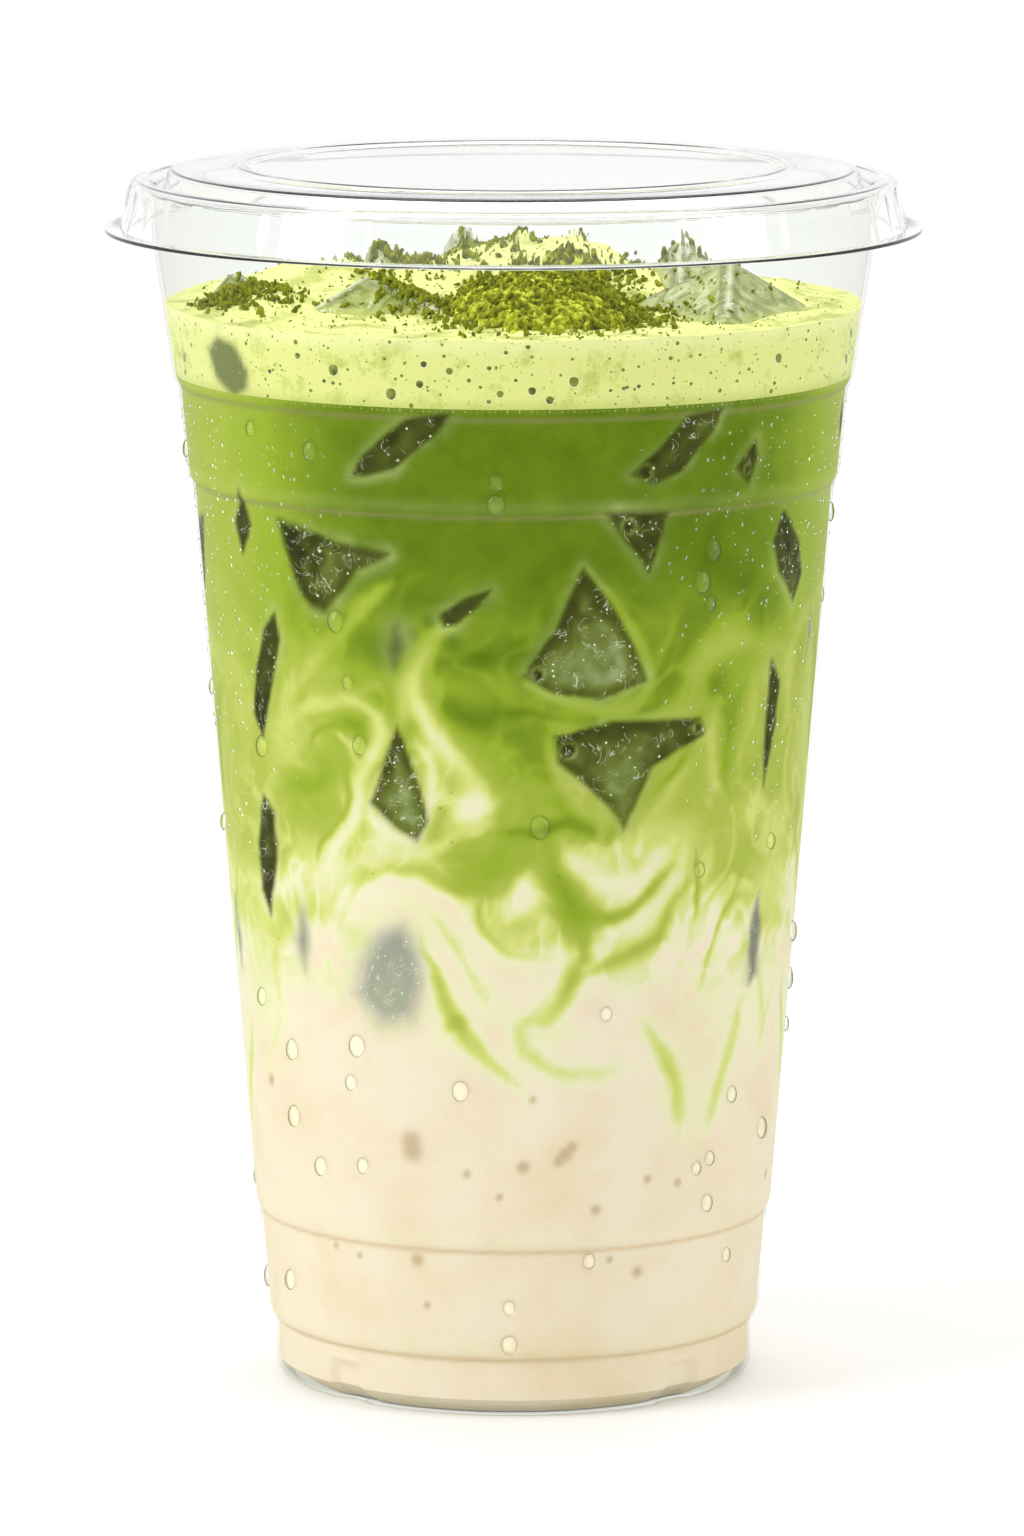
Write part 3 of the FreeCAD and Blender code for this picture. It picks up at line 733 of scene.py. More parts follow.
def pet_material(name, ripple):
    """Clear thermoformed PET: a thin glossy sheet that greys only where it is edge on."""
    made, tree, out = new_material(name)
    place = add(tree, "ShaderNodeTexCoord")
    waves = add(tree, "ShaderNodeTexNoise", {
        "Vector": place.outputs["Object"], "Scale": 1 / (9 * MM), "Detail": 1.0})
    bump = add(tree, "ShaderNodeBump", {
        "Height": waves.outputs["Fac"], "Strength": ripple, "Distance": 0.4 * MM})
    facing = add(tree, "ShaderNodeLayerWeight", {"Blend": 0.28, "Normal": bump.outputs["Normal"]})
    # The grey at the edge is partly absorption along the longer path through the sheet, partly
    # painted shade for the darker surroundings seen through it.
    tint = add(tree, "ShaderNodeValToRGB", {"Fac": facing.outputs["Facing"]}, stops=[
        (0.0, linear("#fefffe")), (0.8, linear("#f8f9f6")), (0.97, linear("#bcc1b2"))])
    clear = add(tree, "ShaderNodeBsdfTransparent", {"Color": tint.outputs["Color"]})
    gloss = add(tree, "ShaderNodeBsdfGlossy", {
        "Color": grey(0.9), "Roughness": 0.06, "Normal": bump.outputs["Normal"]})
    fresnel = add(tree, "ShaderNodeFresnel", {"IOR": 1.38, "Normal": bump.outputs["Normal"]})
    # The sheet's inner face lies against the drink and gives no reflection of its own.
    sides = add(tree, "ShaderNodeNewGeometry")
    outer = add(tree, "ShaderNodeMath", {0: 1.0, 1: sides.outputs["Backfacing"]},
                operation="SUBTRACT")
    share = fresnel.outputs["Fac"]
    for factor in (outer.outputs[0], 0.3):
        share = add(tree, "ShaderNodeMath", {0: share, 1: factor},
                    operation="MULTIPLY").outputs[0]
    mix = add(tree, "ShaderNodeMixShader", {
        "Fac": share, 1: clear.outputs["BSDF"], 2: gloss.outputs["BSDF"]})
    rays = add(tree, "ShaderNodeLightPath")
    lamp = add(tree, "ShaderNodeBsdfTransparent", {"Color": grey(0.98)})
    shade = add(tree, "ShaderNodeMixShader", {
        "Fac": rays.outputs["Is Shadow Ray"], 1: mix.outputs["Shader"], 2: lamp.outputs["BSDF"]})
    tree.links.new(shade.outputs["Shader"], out.inputs["Surface"])
    return made


def clear_material(name, ior, rim):
    """Clear refracting stuff, such as water, with painted shade at its outline; its shadow is
    light.
    """
    made, tree, out = new_material(name)
    edge = add(tree, "ShaderNodeLayerWeight", {"Blend": 0.5})
    tint = add(tree, "ShaderNodeValToRGB", {"Fac": edge.outputs["Facing"]}, stops=[
        (0.35, grey(1.0)), (0.75, rim)])
    glass = add(tree, "ShaderNodeBsdfGlass", {
        "Color": tint.outputs["Color"], "IOR": ior, "Roughness": 0.0})
    lamp = add(tree, "ShaderNodeBsdfTransparent", {"Color": grey(0.96)})
    rays = add(tree, "ShaderNodeLightPath")
    shade = add(tree, "ShaderNodeMixShader", {
        "Fac": rays.outputs["Is Shadow Ray"], 1: glass.outputs["BSDF"], 2: lamp.outputs["BSDF"]})
    tree.links.new(shade.outputs["Shader"], out.inputs["Surface"])
    return made


def thin_lines(tree, place, size, width):
    """Fine curved lines, a few in each patch, as 0 or 1."""
    field = add(tree, "ShaderNodeTexNoise", {
        "Vector": place, "Scale": 1 / (size * MM), "Detail": 1.0, "Distortion": 2.2})
    middle = add(tree, "ShaderNodeMath", {0: field.outputs["Fac"], 1: 0.5},
                 operation="SUBTRACT")
    near = add(tree, "ShaderNodeMath", {0: middle.outputs[0]}, operation="ABSOLUTE")
    line_ = add(tree, "ShaderNodeMath", {0: near.outputs[0], 1: width}, operation="LESS_THAN")
    patch = add(tree, "ShaderNodeTexNoise", {
        "Vector": place, "Scale": 1 / (size * 0.7 * MM), "Detail": 0.0})
    chosen = add(tree, "ShaderNodeMath", {0: patch.outputs["Fac"], 1: 0.55},
                 operation="GREATER_THAN")
    return add(tree, "ShaderNodeMath", {0: line_.outputs[0], 1: chosen.outputs[0]},
               operation="MULTIPLY").outputs[0]


def dots(tree, place, size, radius, share):
    """Small round dots in a share of the cells of a pattern, as 0 or 1."""
    cells = add(tree, "ShaderNodeTexVoronoi", {"Vector": place, "Scale": 1 / (size * MM)})
    few = add(tree, "ShaderNodeSeparateColor", {"Color": cells.outputs["Color"]})
    wide = add(tree, "ShaderNodeMath", {0: few.outputs["Green"], 1: radius},
               operation="MULTIPLY")
    inside = add(tree, "ShaderNodeMath", {0: cells.outputs["Distance"], 1: wide.outputs[0]},
                 operation="LESS_THAN")
    chosen = add(tree, "ShaderNodeMath", {0: few.outputs["Red"], 1: 1 - share},
                 operation="GREATER_THAN")
    return add(tree, "ShaderNodeMath", {0: inside.outputs[0], 1: chosen.outputs[0]},
               operation="MULTIPLY").outputs[0]


def coats(tree, base, layers):
    """Colours laid over a base in order, each through a mask and at a strength."""
    for mask, strength, colour in layers:
        share = add(tree, "ShaderNodeMath", {0: mask, 1: strength}, operation="MULTIPLY")
        base = add(tree, "ShaderNodeMix", {
            "Factor": share.outputs[0], "A": base, "B": colour},
            data_type="RGBA").outputs["Result"]
    return base


def masks(tree, name):
    """The three values that a named attribute holds, as the outputs X, Y and Z."""
    held = add(tree, "ShaderNodeAttribute", attribute_name=name)
    return add(tree, "ShaderNodeSeparateXYZ", {"Vector": held.outputs["Vector"]}).outputs


def white_ground(tree):
    """1 for the rays that show the white ground: straight, through glass or mirrored."""
    rays = add(tree, "ShaderNodeLightPath").outputs
    seen = rays["Is Camera Ray"]
    for kind in ("Is Transmission Ray", "Is Glossy Ray"):
        seen = add(tree, "ShaderNodeMath", {0: seen, 1: rays[kind]},
                   operation="MAXIMUM").outputs[0]
    return seen


def drink_material(colours):
    """Milk and whisked tea: opaque and smooth, marbled, with painted shade and light at the ledges,
    and ice against the wall painted as shaded windows.
    """
    made, tree, out = new_material("milk_and_whisked_tea")
    place = add(tree, "ShaderNodeTexCoord").outputs["Object"]
    marble, ice, ledge = (masks(tree, name) for name in ("marble", "ice", "ledge"))
    fine = add(tree, "ShaderNodeTexNoise", {
        "Vector": place, "Scale": 1 / (2.6 * MM), "Detail": 5.0, "Roughness": 0.62,
        "Distortion": 1.2})
    shift = add(tree, "ShaderNodeMath", {0: fine.outputs["Fac"], 1: 0.5}, operation="SUBTRACT")
    amount = add(tree, "ShaderNodeMath", {0: shift.outputs[0], 1: 0.13},
                 operation="MULTIPLY").outputs[0]
    green = add(tree, "ShaderNodeMath", {0: marble["X"], 1: amount}, operation="ADD")
    green = green.outputs[0]
    base = add(tree, "ShaderNodeValToRGB", {"Fac": green}, stops=[
        (0.02, tuple(colours.milk)), (0.13, tuple(colours.cloud)), (0.30, tuple(colours.wisp)),
        (0.48, tuple(colours.blend)), (0.72, tuple(colours.leaf)), (0.96, tuple(colours.deep))])
    # Specks of undissolved tea, denser where the drink is greener.
    leaf = add(tree, "ShaderNodeMapRange", {
        "Value": green, "From Min": 0.08, "From Max": 0.4, "To Max": 0.7})
    specks = dots(tree, place, 1.5, 0.11, 0.35)
    # Faint warm patches and soft tan spots of toasted malt in the milk.
    warm = add(tree, "ShaderNodeTexNoise", {
        "Vector": place, "Scale": 1 / (11 * MM), "Detail": 4.0, "Roughness": 0.6})
    pure = add(tree, "ShaderNodeMapRange", {
        "Value": green, "From Min": 0.0, "From Max": 0.2, "To Min": 0.4, "To Max": 0.0})
    patch = add(tree, "ShaderNodeMapRange", {
        "Value": warm.outputs["Fac"], "From Min": 0.42, "From Max": 0.68})
    # The ledges press the drink in: a thin shade in the crease, light on the rounding.
    crease = add(tree, "ShaderNodeMix", {
        "Factor": leaf.outputs["Result"], "A": linear("#d8bb8c"), "B": linear("#4f6608")},
        data_type="RGBA").outputs["Result"]
    # Pale melt water round each piece of ice, partly painted light: it is stronger on the lit side
    # of each window.
    broad = add(tree, "ShaderNodeTexNoise", {
        "Vector": place, "Scale": 1 / (7 * MM), "Detail": 3.0, "Roughness": 0.55})
    patchy = add(tree, "ShaderNodeMapRange", {
        "Value": broad.outputs["Fac"], "From Min": 0.38, "From Max": 0.62, "To Min": 0.05,
        "To Max": 0.55})
    base = coats(tree, base.outputs["Color"], [
        (specks, leaf.outputs["Result"], linear("#5c6e12")),
        (pure.outputs["Result"], patch.outputs["Result"], linear("#e3c894")),
        (marble["Y"], 1.0, linear("#b0905f")),
        (ledge["X"], 0.7, crease),
        (ledge["Y"], 0.08, linear("#e6ec9c")),
        (ice["Y"], patchy.outputs["Result"], linear("#bcc67e"))])
    # The ice itself, painted as shade: dark at its edge, olive inside and paler on its painted lit
    # side, with cracks drawn as painted highlight lines and trapped air as painted glints.
    tone = add(tree, "ShaderNodeMath", {0: ice["Z"], 1: amount}, operation="ADD")
    body = add(tree, "ShaderNodeValToRGB", {"Fac": tone.outputs[0]}, stops=[
        (0.0, tuple(colours.ice_darkest_shade)), (0.22, tuple(colours.ice_window_shade)),
        (0.5, linear("#6d7a33")), (0.85, linear("#9aa670"))]).outputs["Color"]
    body = coats(tree, body, [
        (marble["Z"], 1.0, linear("#b9bcae")),
        (thin_lines(tree, place, 2.6, 0.012), 0.55, linear("#dfe4c6")),
        (dots(tree, place, 0.75, 0.22, 0.4), 0.85, linear("#f2f4e2"))])
    whole = coats(tree, base, [(ice["X"], 1.0, body)])
    shader = add(tree, "ShaderNodeBsdfDiffuse", {"Color": whole})
    tree.links.new(shader.outputs["BSDF"], out.inputs["Surface"])
    return made


def foam_material(name, colours):
    """Whisked milk foam: matt and pale, pricked by bubbles of several sizes."""
    made, tree, out = new_material(name)
    place = add(tree, "ShaderNodeTexCoord").outputs["Object"]
    ice, marks = (masks(tree, name) for name in ("ice", "marble"))
    cloudy = add(tree, "ShaderNodeTexNoise", {
        "Vector": place, "Scale": 1 / (5 * MM), "Detail": 6.0, "Roughness": 0.65})
    base = add(tree, "ShaderNodeValToRGB", {"Fac": cloudy.outputs["Fac"]}, stops=[
        (0.32, linear("#bcc55c")), (0.46, tuple(colours.foam)), (0.60, tuple(colours.foam)),
        (0.78, linear("#ecefa4"))]).outputs["Color"]
    # The foam's side is paler towards its top edge and darker and greener towards its foot.
    pricks, holes, pits = (dots(tree, place, *sizes) for sizes in (
        (0.5, 0.30, 0.5), (1.2, 0.2, 0.85), (2.1, 0.17, 0.8)))
    base = coats(tree, base, [
        (marks["X"], 1.0, linear("#eff1b0")),
        (marks["Y"], 1.0, linear("#b7c25c")),
        (pricks, 0.75, linear("#a3ad38")),
        (holes, 0.9, tuple(colours.bubble)),
        (pits, 0.9, tuple(colours.bubble)),
        (ice["Z"], 1.0, linear("#868c14")),
        # Ice against the wall in the foam: a pale film round it, stronger on its painted lit side,
        # and a dark window of painted shade.
        (ice["Y"], 0.6, linear("#c3ca7c")),
        (ice["X"], 0.92, linear("#5f6b35"))])
    bump = add(tree, "ShaderNodeBump", {
        "Height": pits, "Strength": 0.6, "Distance": 0.25 * MM}, invert=True)
    shader = add(tree, "ShaderNodeBsdfPrincipled", {
        "Base Color": base, "Roughness": 0.55, "Specular IOR Level": 0.15,
        "Normal": bump.outputs["Normal"]})
    tree.links.new(shader.outputs["BSDF"], out.inputs["Surface"])
    return made


def bubble_material():
    """A foam bubble against the wall: dark olive, with the pale ring of its skin."""
    made, tree, out = new_material("foam_bubble")
    place = add(tree, "ShaderNodeTexCoord").outputs["Object"]
    flat = add(tree, "ShaderNodeVectorMath", {0: place, 1: (1.0, 1.0, 0.0)},
               operation="MULTIPLY")
    out_way = add(tree, "ShaderNodeVectorMath", {0: flat.outputs[0]}, operation="NORMALIZE")
    normal = add(tree, "ShaderNodeNewGeometry").outputs["Normal"]
    facing = add(tree, "ShaderNodeVectorMath", {0: normal, 1: out_way.outputs[0]},
                 operation="DOT_PRODUCT")
    body = add(tree, "ShaderNodeTexNoise", {"Vector": place, "Scale": 1 / (1.2 * MM)})
    fill = add(tree, "ShaderNodeValToRGB", {"Fac": body.outputs["Fac"]}, stops=[
        (0.4, linear("#4c5610")), (0.6, linear("#848f2a"))]).outputs["Color"]
    ring = add(tree, "ShaderNodeMapRange", {
        "Value": facing.outputs["Value"], "From Min": 0.95, "From Max": 0.86})
    base = coats(tree, fill, [(ring.outputs["Result"], 1.0, linear("#f6f7cc"))])
    shader = add(tree, "ShaderNodeBsdfPrincipled", {
        "Base Color": base, "Roughness": 0.3, "Specular IOR Level": 0.3})
    tree.links.new(shader.outputs["BSDF"], out.inputs["Surface"])
    return made


def powder_material(colours):
    """Stone-ground tea powder: matt, clumped, with painted shade in its crevices and painted
    highlights on its clumps.
    """
    made, tree, out = new_material("ground_tea_powder")
    place = add(tree, "ShaderNodeTexCoord")
    clumps = add(tree, "ShaderNodeTexNoise", {
        "Vector": place.outputs["Object"], "Scale": 1 / (1.1 * MM), "Detail": 6.0,
        "Roughness": 0.7, "Distortion": 1.2})
    relief = add(tree, "ShaderNodeAttribute", attribute_name="relief")
    both = add(tree, "ShaderNodeMath", {0: clumps.outputs["Fac"], 1: relief.outputs["Fac"]},
               operation="ADD")
    # Colour follows the clumps and the heap's relief: painted shade low down, painted highlights on
    # top.
    base = add(tree, "ShaderNodeValToRGB", {"Fac": both.outputs[0]}, stops=[
        (0.42, tuple(colours.powder_shade)), (0.57, linear("#6d760a")),
        (0.71, tuple(colours.powder)), (0.88, linear("#d6da4c"))])
    bump = add(tree, "ShaderNodeBump", {
        "Height": clumps.outputs["Fac"], "Strength": 0.8, "Distance": 0.5 * MM})
    shader = add(tree, "ShaderNodeBsdfPrincipled", {
        "Base Color": base.outputs["Color"], "Roughness": 0.9, "Specular IOR Level": 0.15,
        "Normal": bump.outputs["Normal"]})
    tree.links.new(shader.outputs["BSDF"], out.inputs["Surface"])
    return made


def ice_material():
    """Wet ice: painted highlights along its rounded edges with painted shade beside them, cloudy
    grey-green faces, tea and powder on them.
    """
    made, tree, out = new_material("wet_ice")
    place = add(tree, "ShaderNodeTexCoord").outputs["Object"]
    marks = masks(tree, "ice")
    cloud = add(tree, "ShaderNodeTexNoise", {
        "Vector": place, "Scale": 1 / (4.5 * MM), "Detail": 6.0, "Roughness": 0.6,
        "Distortion": 1.8})
    body = add(tree, "ShaderNodeValToRGB", {"Fac": cloud.outputs["Fac"]}, stops=[
        (0.30, linear("#66741c")), (0.43, linear("#929d4c")), (0.57, linear("#b7bf7c")),
        (0.74, linear("#dce1b6"))]).outputs["Color"]
    body = coats(tree, body, [
        # Painted shade beside each edge, the film of drink, painted highlight lines as of cracks,
        # dark specks of powder, and a painted highlight along each edge.
        (marks["Y"], 0.7, linear("#5d6a26")),
        (marks["Z"], 0.75, linear("#c3ca6a")),
        (thin_lines(tree, place, 3.4, 0.010), 0.6, linear("#f4f6e8")),
        (dots(tree, place, 0.8, 0.24, 0.3), 0.9, linear("#6d7714")),
        (marks["X"], 0.85, linear("#f3f6e6"))])
    bump = add(tree, "ShaderNodeBump", {
        "Height": cloud.outputs["Fac"], "Strength": 0.12, "Distance": 0.5 * MM})
    shader = add(tree, "ShaderNodeBsdfPrincipled", {
        "Base Color": body, "Roughness": 0.14, "IOR": 1.31, "Transmission Weight": 0.2,
        "Specular IOR Level": 0.5, "Normal": bump.outputs["Normal"]})
    tree.links.new(shader.outputs["BSDF"], out.inputs["Surface"])
    return made


# ---------------------------------------------------------------- builders

def finish_piece(made, material, nodes=()):
    made.data.materials.clear()
    made.data.materials.append(material)
    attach(made, BODY)
    if nodes:
        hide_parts(*nodes)


def write_attribute(made, name, columns):
    """Store three numbers for each point of a mesh."""
    layer = made.data.attributes.new(name, "FLOAT_VECTOR", "POINT")
    values = np.stack(columns, axis=-1).astype(np.float32)
    layer.data.foreach_set("vector", values.reshape(-1))


def shell(bottoms, tops, radius_at, cell):
    """Points, faces and heights of a round side between two wavy levels."""
    segments = len(bottoms)
    rows = max(2, int(np.max(tops - bottoms) / cell))
    share = np.linspace(0, 1, rows + 1)[:, None]
    heights = bottoms[None, :] * (1 - share) + tops[None, :] * share
    angles = np.arange(segments) * TURN / segments
    radius = radius_at(heights)
    points = np.stack([radius * np.cos(angles), radius * np.sin(angles), heights], axis=-1)
    points = points.reshape(-1, 3)
    faces = grid_faces(rows + 1, segments)
    return points, faces, heights


def grid_faces(rows, segments, start=0):
    """Quads of a closed band of rows, each with the same number of points."""
    row, seg = np.meshgrid(np.arange(rows - 1), np.arange(segments), indexing="ij")
    side = (seg + 1) % segments
    quads = np.stack([row * segments + seg, row * segments + side,
                      (row + 1) * segments + side, (row + 1) * segments + seg], axis=-1)
    return (quads.reshape(-1, 4) + start).tolist()


def fan_cap(points, faces, first, segments, centre, rings, shape):
    """Close a rim of points with rings that shrink towards a centre point."""
    rim = np.array(points[first:first + segments])
    start = len(points)
    extra = []
    for ring in range(1, rings):
        share = 1 - ring / rings
        flat = rim * share + np.array(centre) * (1 - share)
        extra.append(shape(flat, share))
    extra = np.concatenate(extra) if extra else np.zeros((0, 3))
    all_points = np.concatenate([np.array(points), extra, np.array([centre])])
    ids = [first + np.arange(segments)]
    for ring in range(rings - 1):
        ids.append(start + ring * segments + np.arange(segments))
    for outer, inner in zip(ids, ids[1:]):
        for seg in range(segments):
            side = (seg + 1) % segments
            faces.append((outer[seg], outer[side], inner[side], inner[seg]))
    last = ids[-1]
    tip = len(all_points) - 1
    for seg in range(segments):
        faces.append((last[seg], last[(seg + 1) % segments], tip))
    return all_points, faces


def flat_cap(points, faces, first, segments, level, rings=12):
    """Close a rim with plain rings that run to the middle at one level."""
    middle = np.array([0, 0, level])
    return fan_cap(points, faces, first, segments, middle, rings, lambda flat, share: flat)


def keep_angle(points):
    """Degrees from the side shown, positive to the right."""
    return np.degrees(np.arctan2(points[:, 0], -points[:, 1]))


def build_drink(kind):
    """The milk or the tea: a solid out to the wall, marbled at its side."""
    cup, drink, topping = settings()[:3]
    inset = (cup.wall - drink.bite) / MM
    cell = drink.cell / MM
    milk_level = drink.milk_depth / MM
    foam_bottom = RIM_TOP - (drink.foam_below_rim + drink.foam_depth) / MM
    segments = int(TURN * 40 / cell / 8) * 8
    angles = np.arange(segments) * TURN / segments
    border = milk_height(drink, angles)

    def radius_at(heights):
        return wall_radius(cup, heights, inset)

    if kind == "milk":
        floor = FOOT_CORNER + 0 * angles
        points, faces, heights = shell(floor, border, radius_at, cell)
        low = np.array([[0, 0, BASE_RECESS + cup.wall / MM]])
        foot = cup.foot_radius / MM - inset

        def bottom(flat, share):
            lowered = flat.copy()
            reach = np.hypot(flat[:, 0], flat[:, 1])
            ring = foot - FOOT_CORNER - RING_WIDTH
            lowered[:, 2] = np.where(reach > ring, inset, BASE_RECESS + cup.wall / MM)
            return lowered
        points, faces = fan_cap(points, faces, 0, segments, low[0], 10, bottom)
        top_first = (len(heights) - 1) * segments
        points, faces = flat_cap(points, faces, top_first, segments, milk_level)
    else:
        top = foam_bottom + TEA_LAP + 0 * angles
        points, faces, heights = shell(border, top, radius_at, cell)
        points, faces = flat_cap(points, faces, 0, segments, milk_level)
        top_first = (len(heights) - 1) * segments
        points, faces = flat_cap(points, faces, top_first, segments, foam_bottom + TEA_LAP)
    reach = np.maximum(np.hypot(points[:, 0], points[:, 1]), 1e-6)
    dent = lug_dents(np.arctan2(points[:, 1], points[:, 0]), reach, points[:, 2])
    points[:, :2] *= (1 - dent / reach)[:, None]
    made = mesh_object(kind + "_body", points, faces)
    tidy_mesh(made, 0.0005)
    points = mesh_points(made)
    angle = keep_angle(points)
    height = points[:, 2]
    noise = Noise(topping.seed)
    green = greenness(cup, angle, height, noise)
    cover, halo, tone, cloud = sunk_ice(cup, angle, height, noise, WALL_ICE, ICE_TURNS)
    spots = np.zeros(len(points))
    for spot_angle, spot_height, radius in MILK_SPECKS:
        away = np.hypot(arc_offset(cup, angle, height, spot_angle), height - spot_height)
        spots = np.maximum(spots, 0.62 * np.exp(-(away / radius) ** 3))
    write_attribute(made, "marble", [green, spots, cloud])
    write_attribute(made, "ice", [cover, halo, tone])
    write_attribute(made, "ledge", ledge_marks(height))
    return made


def surface_of(name):
    """A tree of an object's faces, for finding what lies under a point."""
    mesh = bpy.data.objects[name].data
    return BVHTree.FromPolygons([point.co for point in mesh.vertices],
                                [face.vertices for face in mesh.polygons])


def ledge_marks(height):
    """Shade in each ledge's crease and light on its rounding, at some heights."""
    dark, light = 0 * height, 0 * height
    for crease, _, rounding, _ in LEDGES:
        dark = np.maximum(dark, np.exp(-((height - crease - 0.15) / 0.3) ** 2))
        light = np.maximum(light, np.exp(-((height - crease - rounding * 0.75) / 0.9) ** 2))
    return [dark, light, 0 * height]


def mesh_points(made):
    """The points of a mesh, in millimetres."""
    values = np.empty(len(made.data.vertices) * 3)
    made.data.vertices.foreach_get("co", values)
    return values.reshape(-1, 3) / MM


def ice_block(cup, drink, name, angle, distance, rise, size, turns, level):
    """One tumbled block: a rounded box, worn by melting, pressed flat by the wall."""
    count = 40
    lattice = np.linspace(-0.5, 0.5, count)
    points, faces = [], []
    for axis in range(3):
        for side in (-0.5, 0.5):
            start = len(points)
            for a in lattice:
                for b in lattice:
                    spot = [a, b]
                    spot.insert(axis, side)
                    points.append(spot)
            for i in range(count - 1):
                for j in range(count - 1):
                    corner = start + i * count + j
                    faces.append((corner, corner + 1, corner + count + 1, corner + count))
    points = np.array(points) * np.array(size)
    core = np.array(size) / 2 - ICE_ROUNDING
    inner = np.clip(points, -core, core)
    away = points - inner
    length = np.maximum(np.linalg.norm(away, axis=1), 1e-9)[:, None]
    points = inner + away / length * ICE_ROUNDING
    noise = Noise(int(angle))
    half = np.array(size) / 2
    gap = np.sort(half - np.abs(points), axis=1)
    edge = np.hypot(gap[:, 0], gap[:, 1]) + 0.1 * noise.layers(points / 4.0, 2)
    worn = noise.layers(points / 12.0 + angle, 1)[:, None]
    points = points * (1 + 0.014 * worn)
    yaw, pitch, roll = (math.radians(value) for value in turns)
    turn = np.array(Euler((roll, pitch, yaw), "XYZ").to_matrix())
    points = points @ turn.T
    turn = math.radians(angle)
    points += np.array([distance * math.cos(turn), distance * math.sin(turn), level + rise])
    reach = np.hypot(points[:, 0], points[:, 1])
    limit = wall_radius(cup, points[:, 2], (cup.wall - 0.1 * MM) / MM)
    points[:, :2] *= np.minimum(1, limit / np.maximum(reach, 1e-6))[:, None]
    above = points[:, 2] - foam_height(drink, points[:, 0], points[:, 1])
    points[:, 2] -= np.maximum(above, 0) * MELTED.get(name, 0.0)
    middle = distance * np.array([math.cos(turn), math.sin(turn)])
    share = SLUMPED.get(name, 0.0) * smooth_step(-5.0, 0.0, above)[:, None]
    points[:, :2] += (points[:, :2] - middle) * share
    made = mesh_object(name, points, faces)
    # A painted highlight along each rounded edge and painted shade just inside it, with the film of
    # drink where the block is sunk.
    ridge_highlight = np.exp(-(np.maximum(edge - 0.5, 0) / 0.22) ** 2)
    shade = np.exp(-((edge - 1.35) / 0.5) ** 2)
    film = 1 - smooth_step(-0.2, 1.6, above + 0.8 * noise.layers(points / 2.5, 2))
    write_attribute(made, "ice", [ridge_highlight, shade, film])
    tidy_mesh(made, 0.01)
    return made


class LATTE_OT_ice(bpy.types.Operator):
    """Make the ice blocks that break the surface"""
    bl_idname = "latte.ice"
    bl_label = "Ice blocks"

    def execute(self, context):
        cup, drink = settings()[:2]
        level = RIM_TOP - drink.foam_below_rim / MM
        material = ice_material()
        for name, *rest in ICE_BLOCKS:
            made = ice_block(cup, drink, name + "_block", *rest, level)
            finish_piece(made, material, [name])
        return {"FINISHED"}


class LATTE_OT_drink(bpy.types.Operator):
    """Make the milk and the green tea with their marbling"""
    bl_idname = "latte.drink"
    bl_label = "Milk and tea"

    def execute(self, context):
        colours = settings()[3]
        material = drink_material(colours)
        for name, node, slot in (("milk", "milk", "milk"), ("tea", "matcha_latte", "matcha_latte")):
            finish_piece(build_drink(name), material, [node])
        return {"FINISHED"}


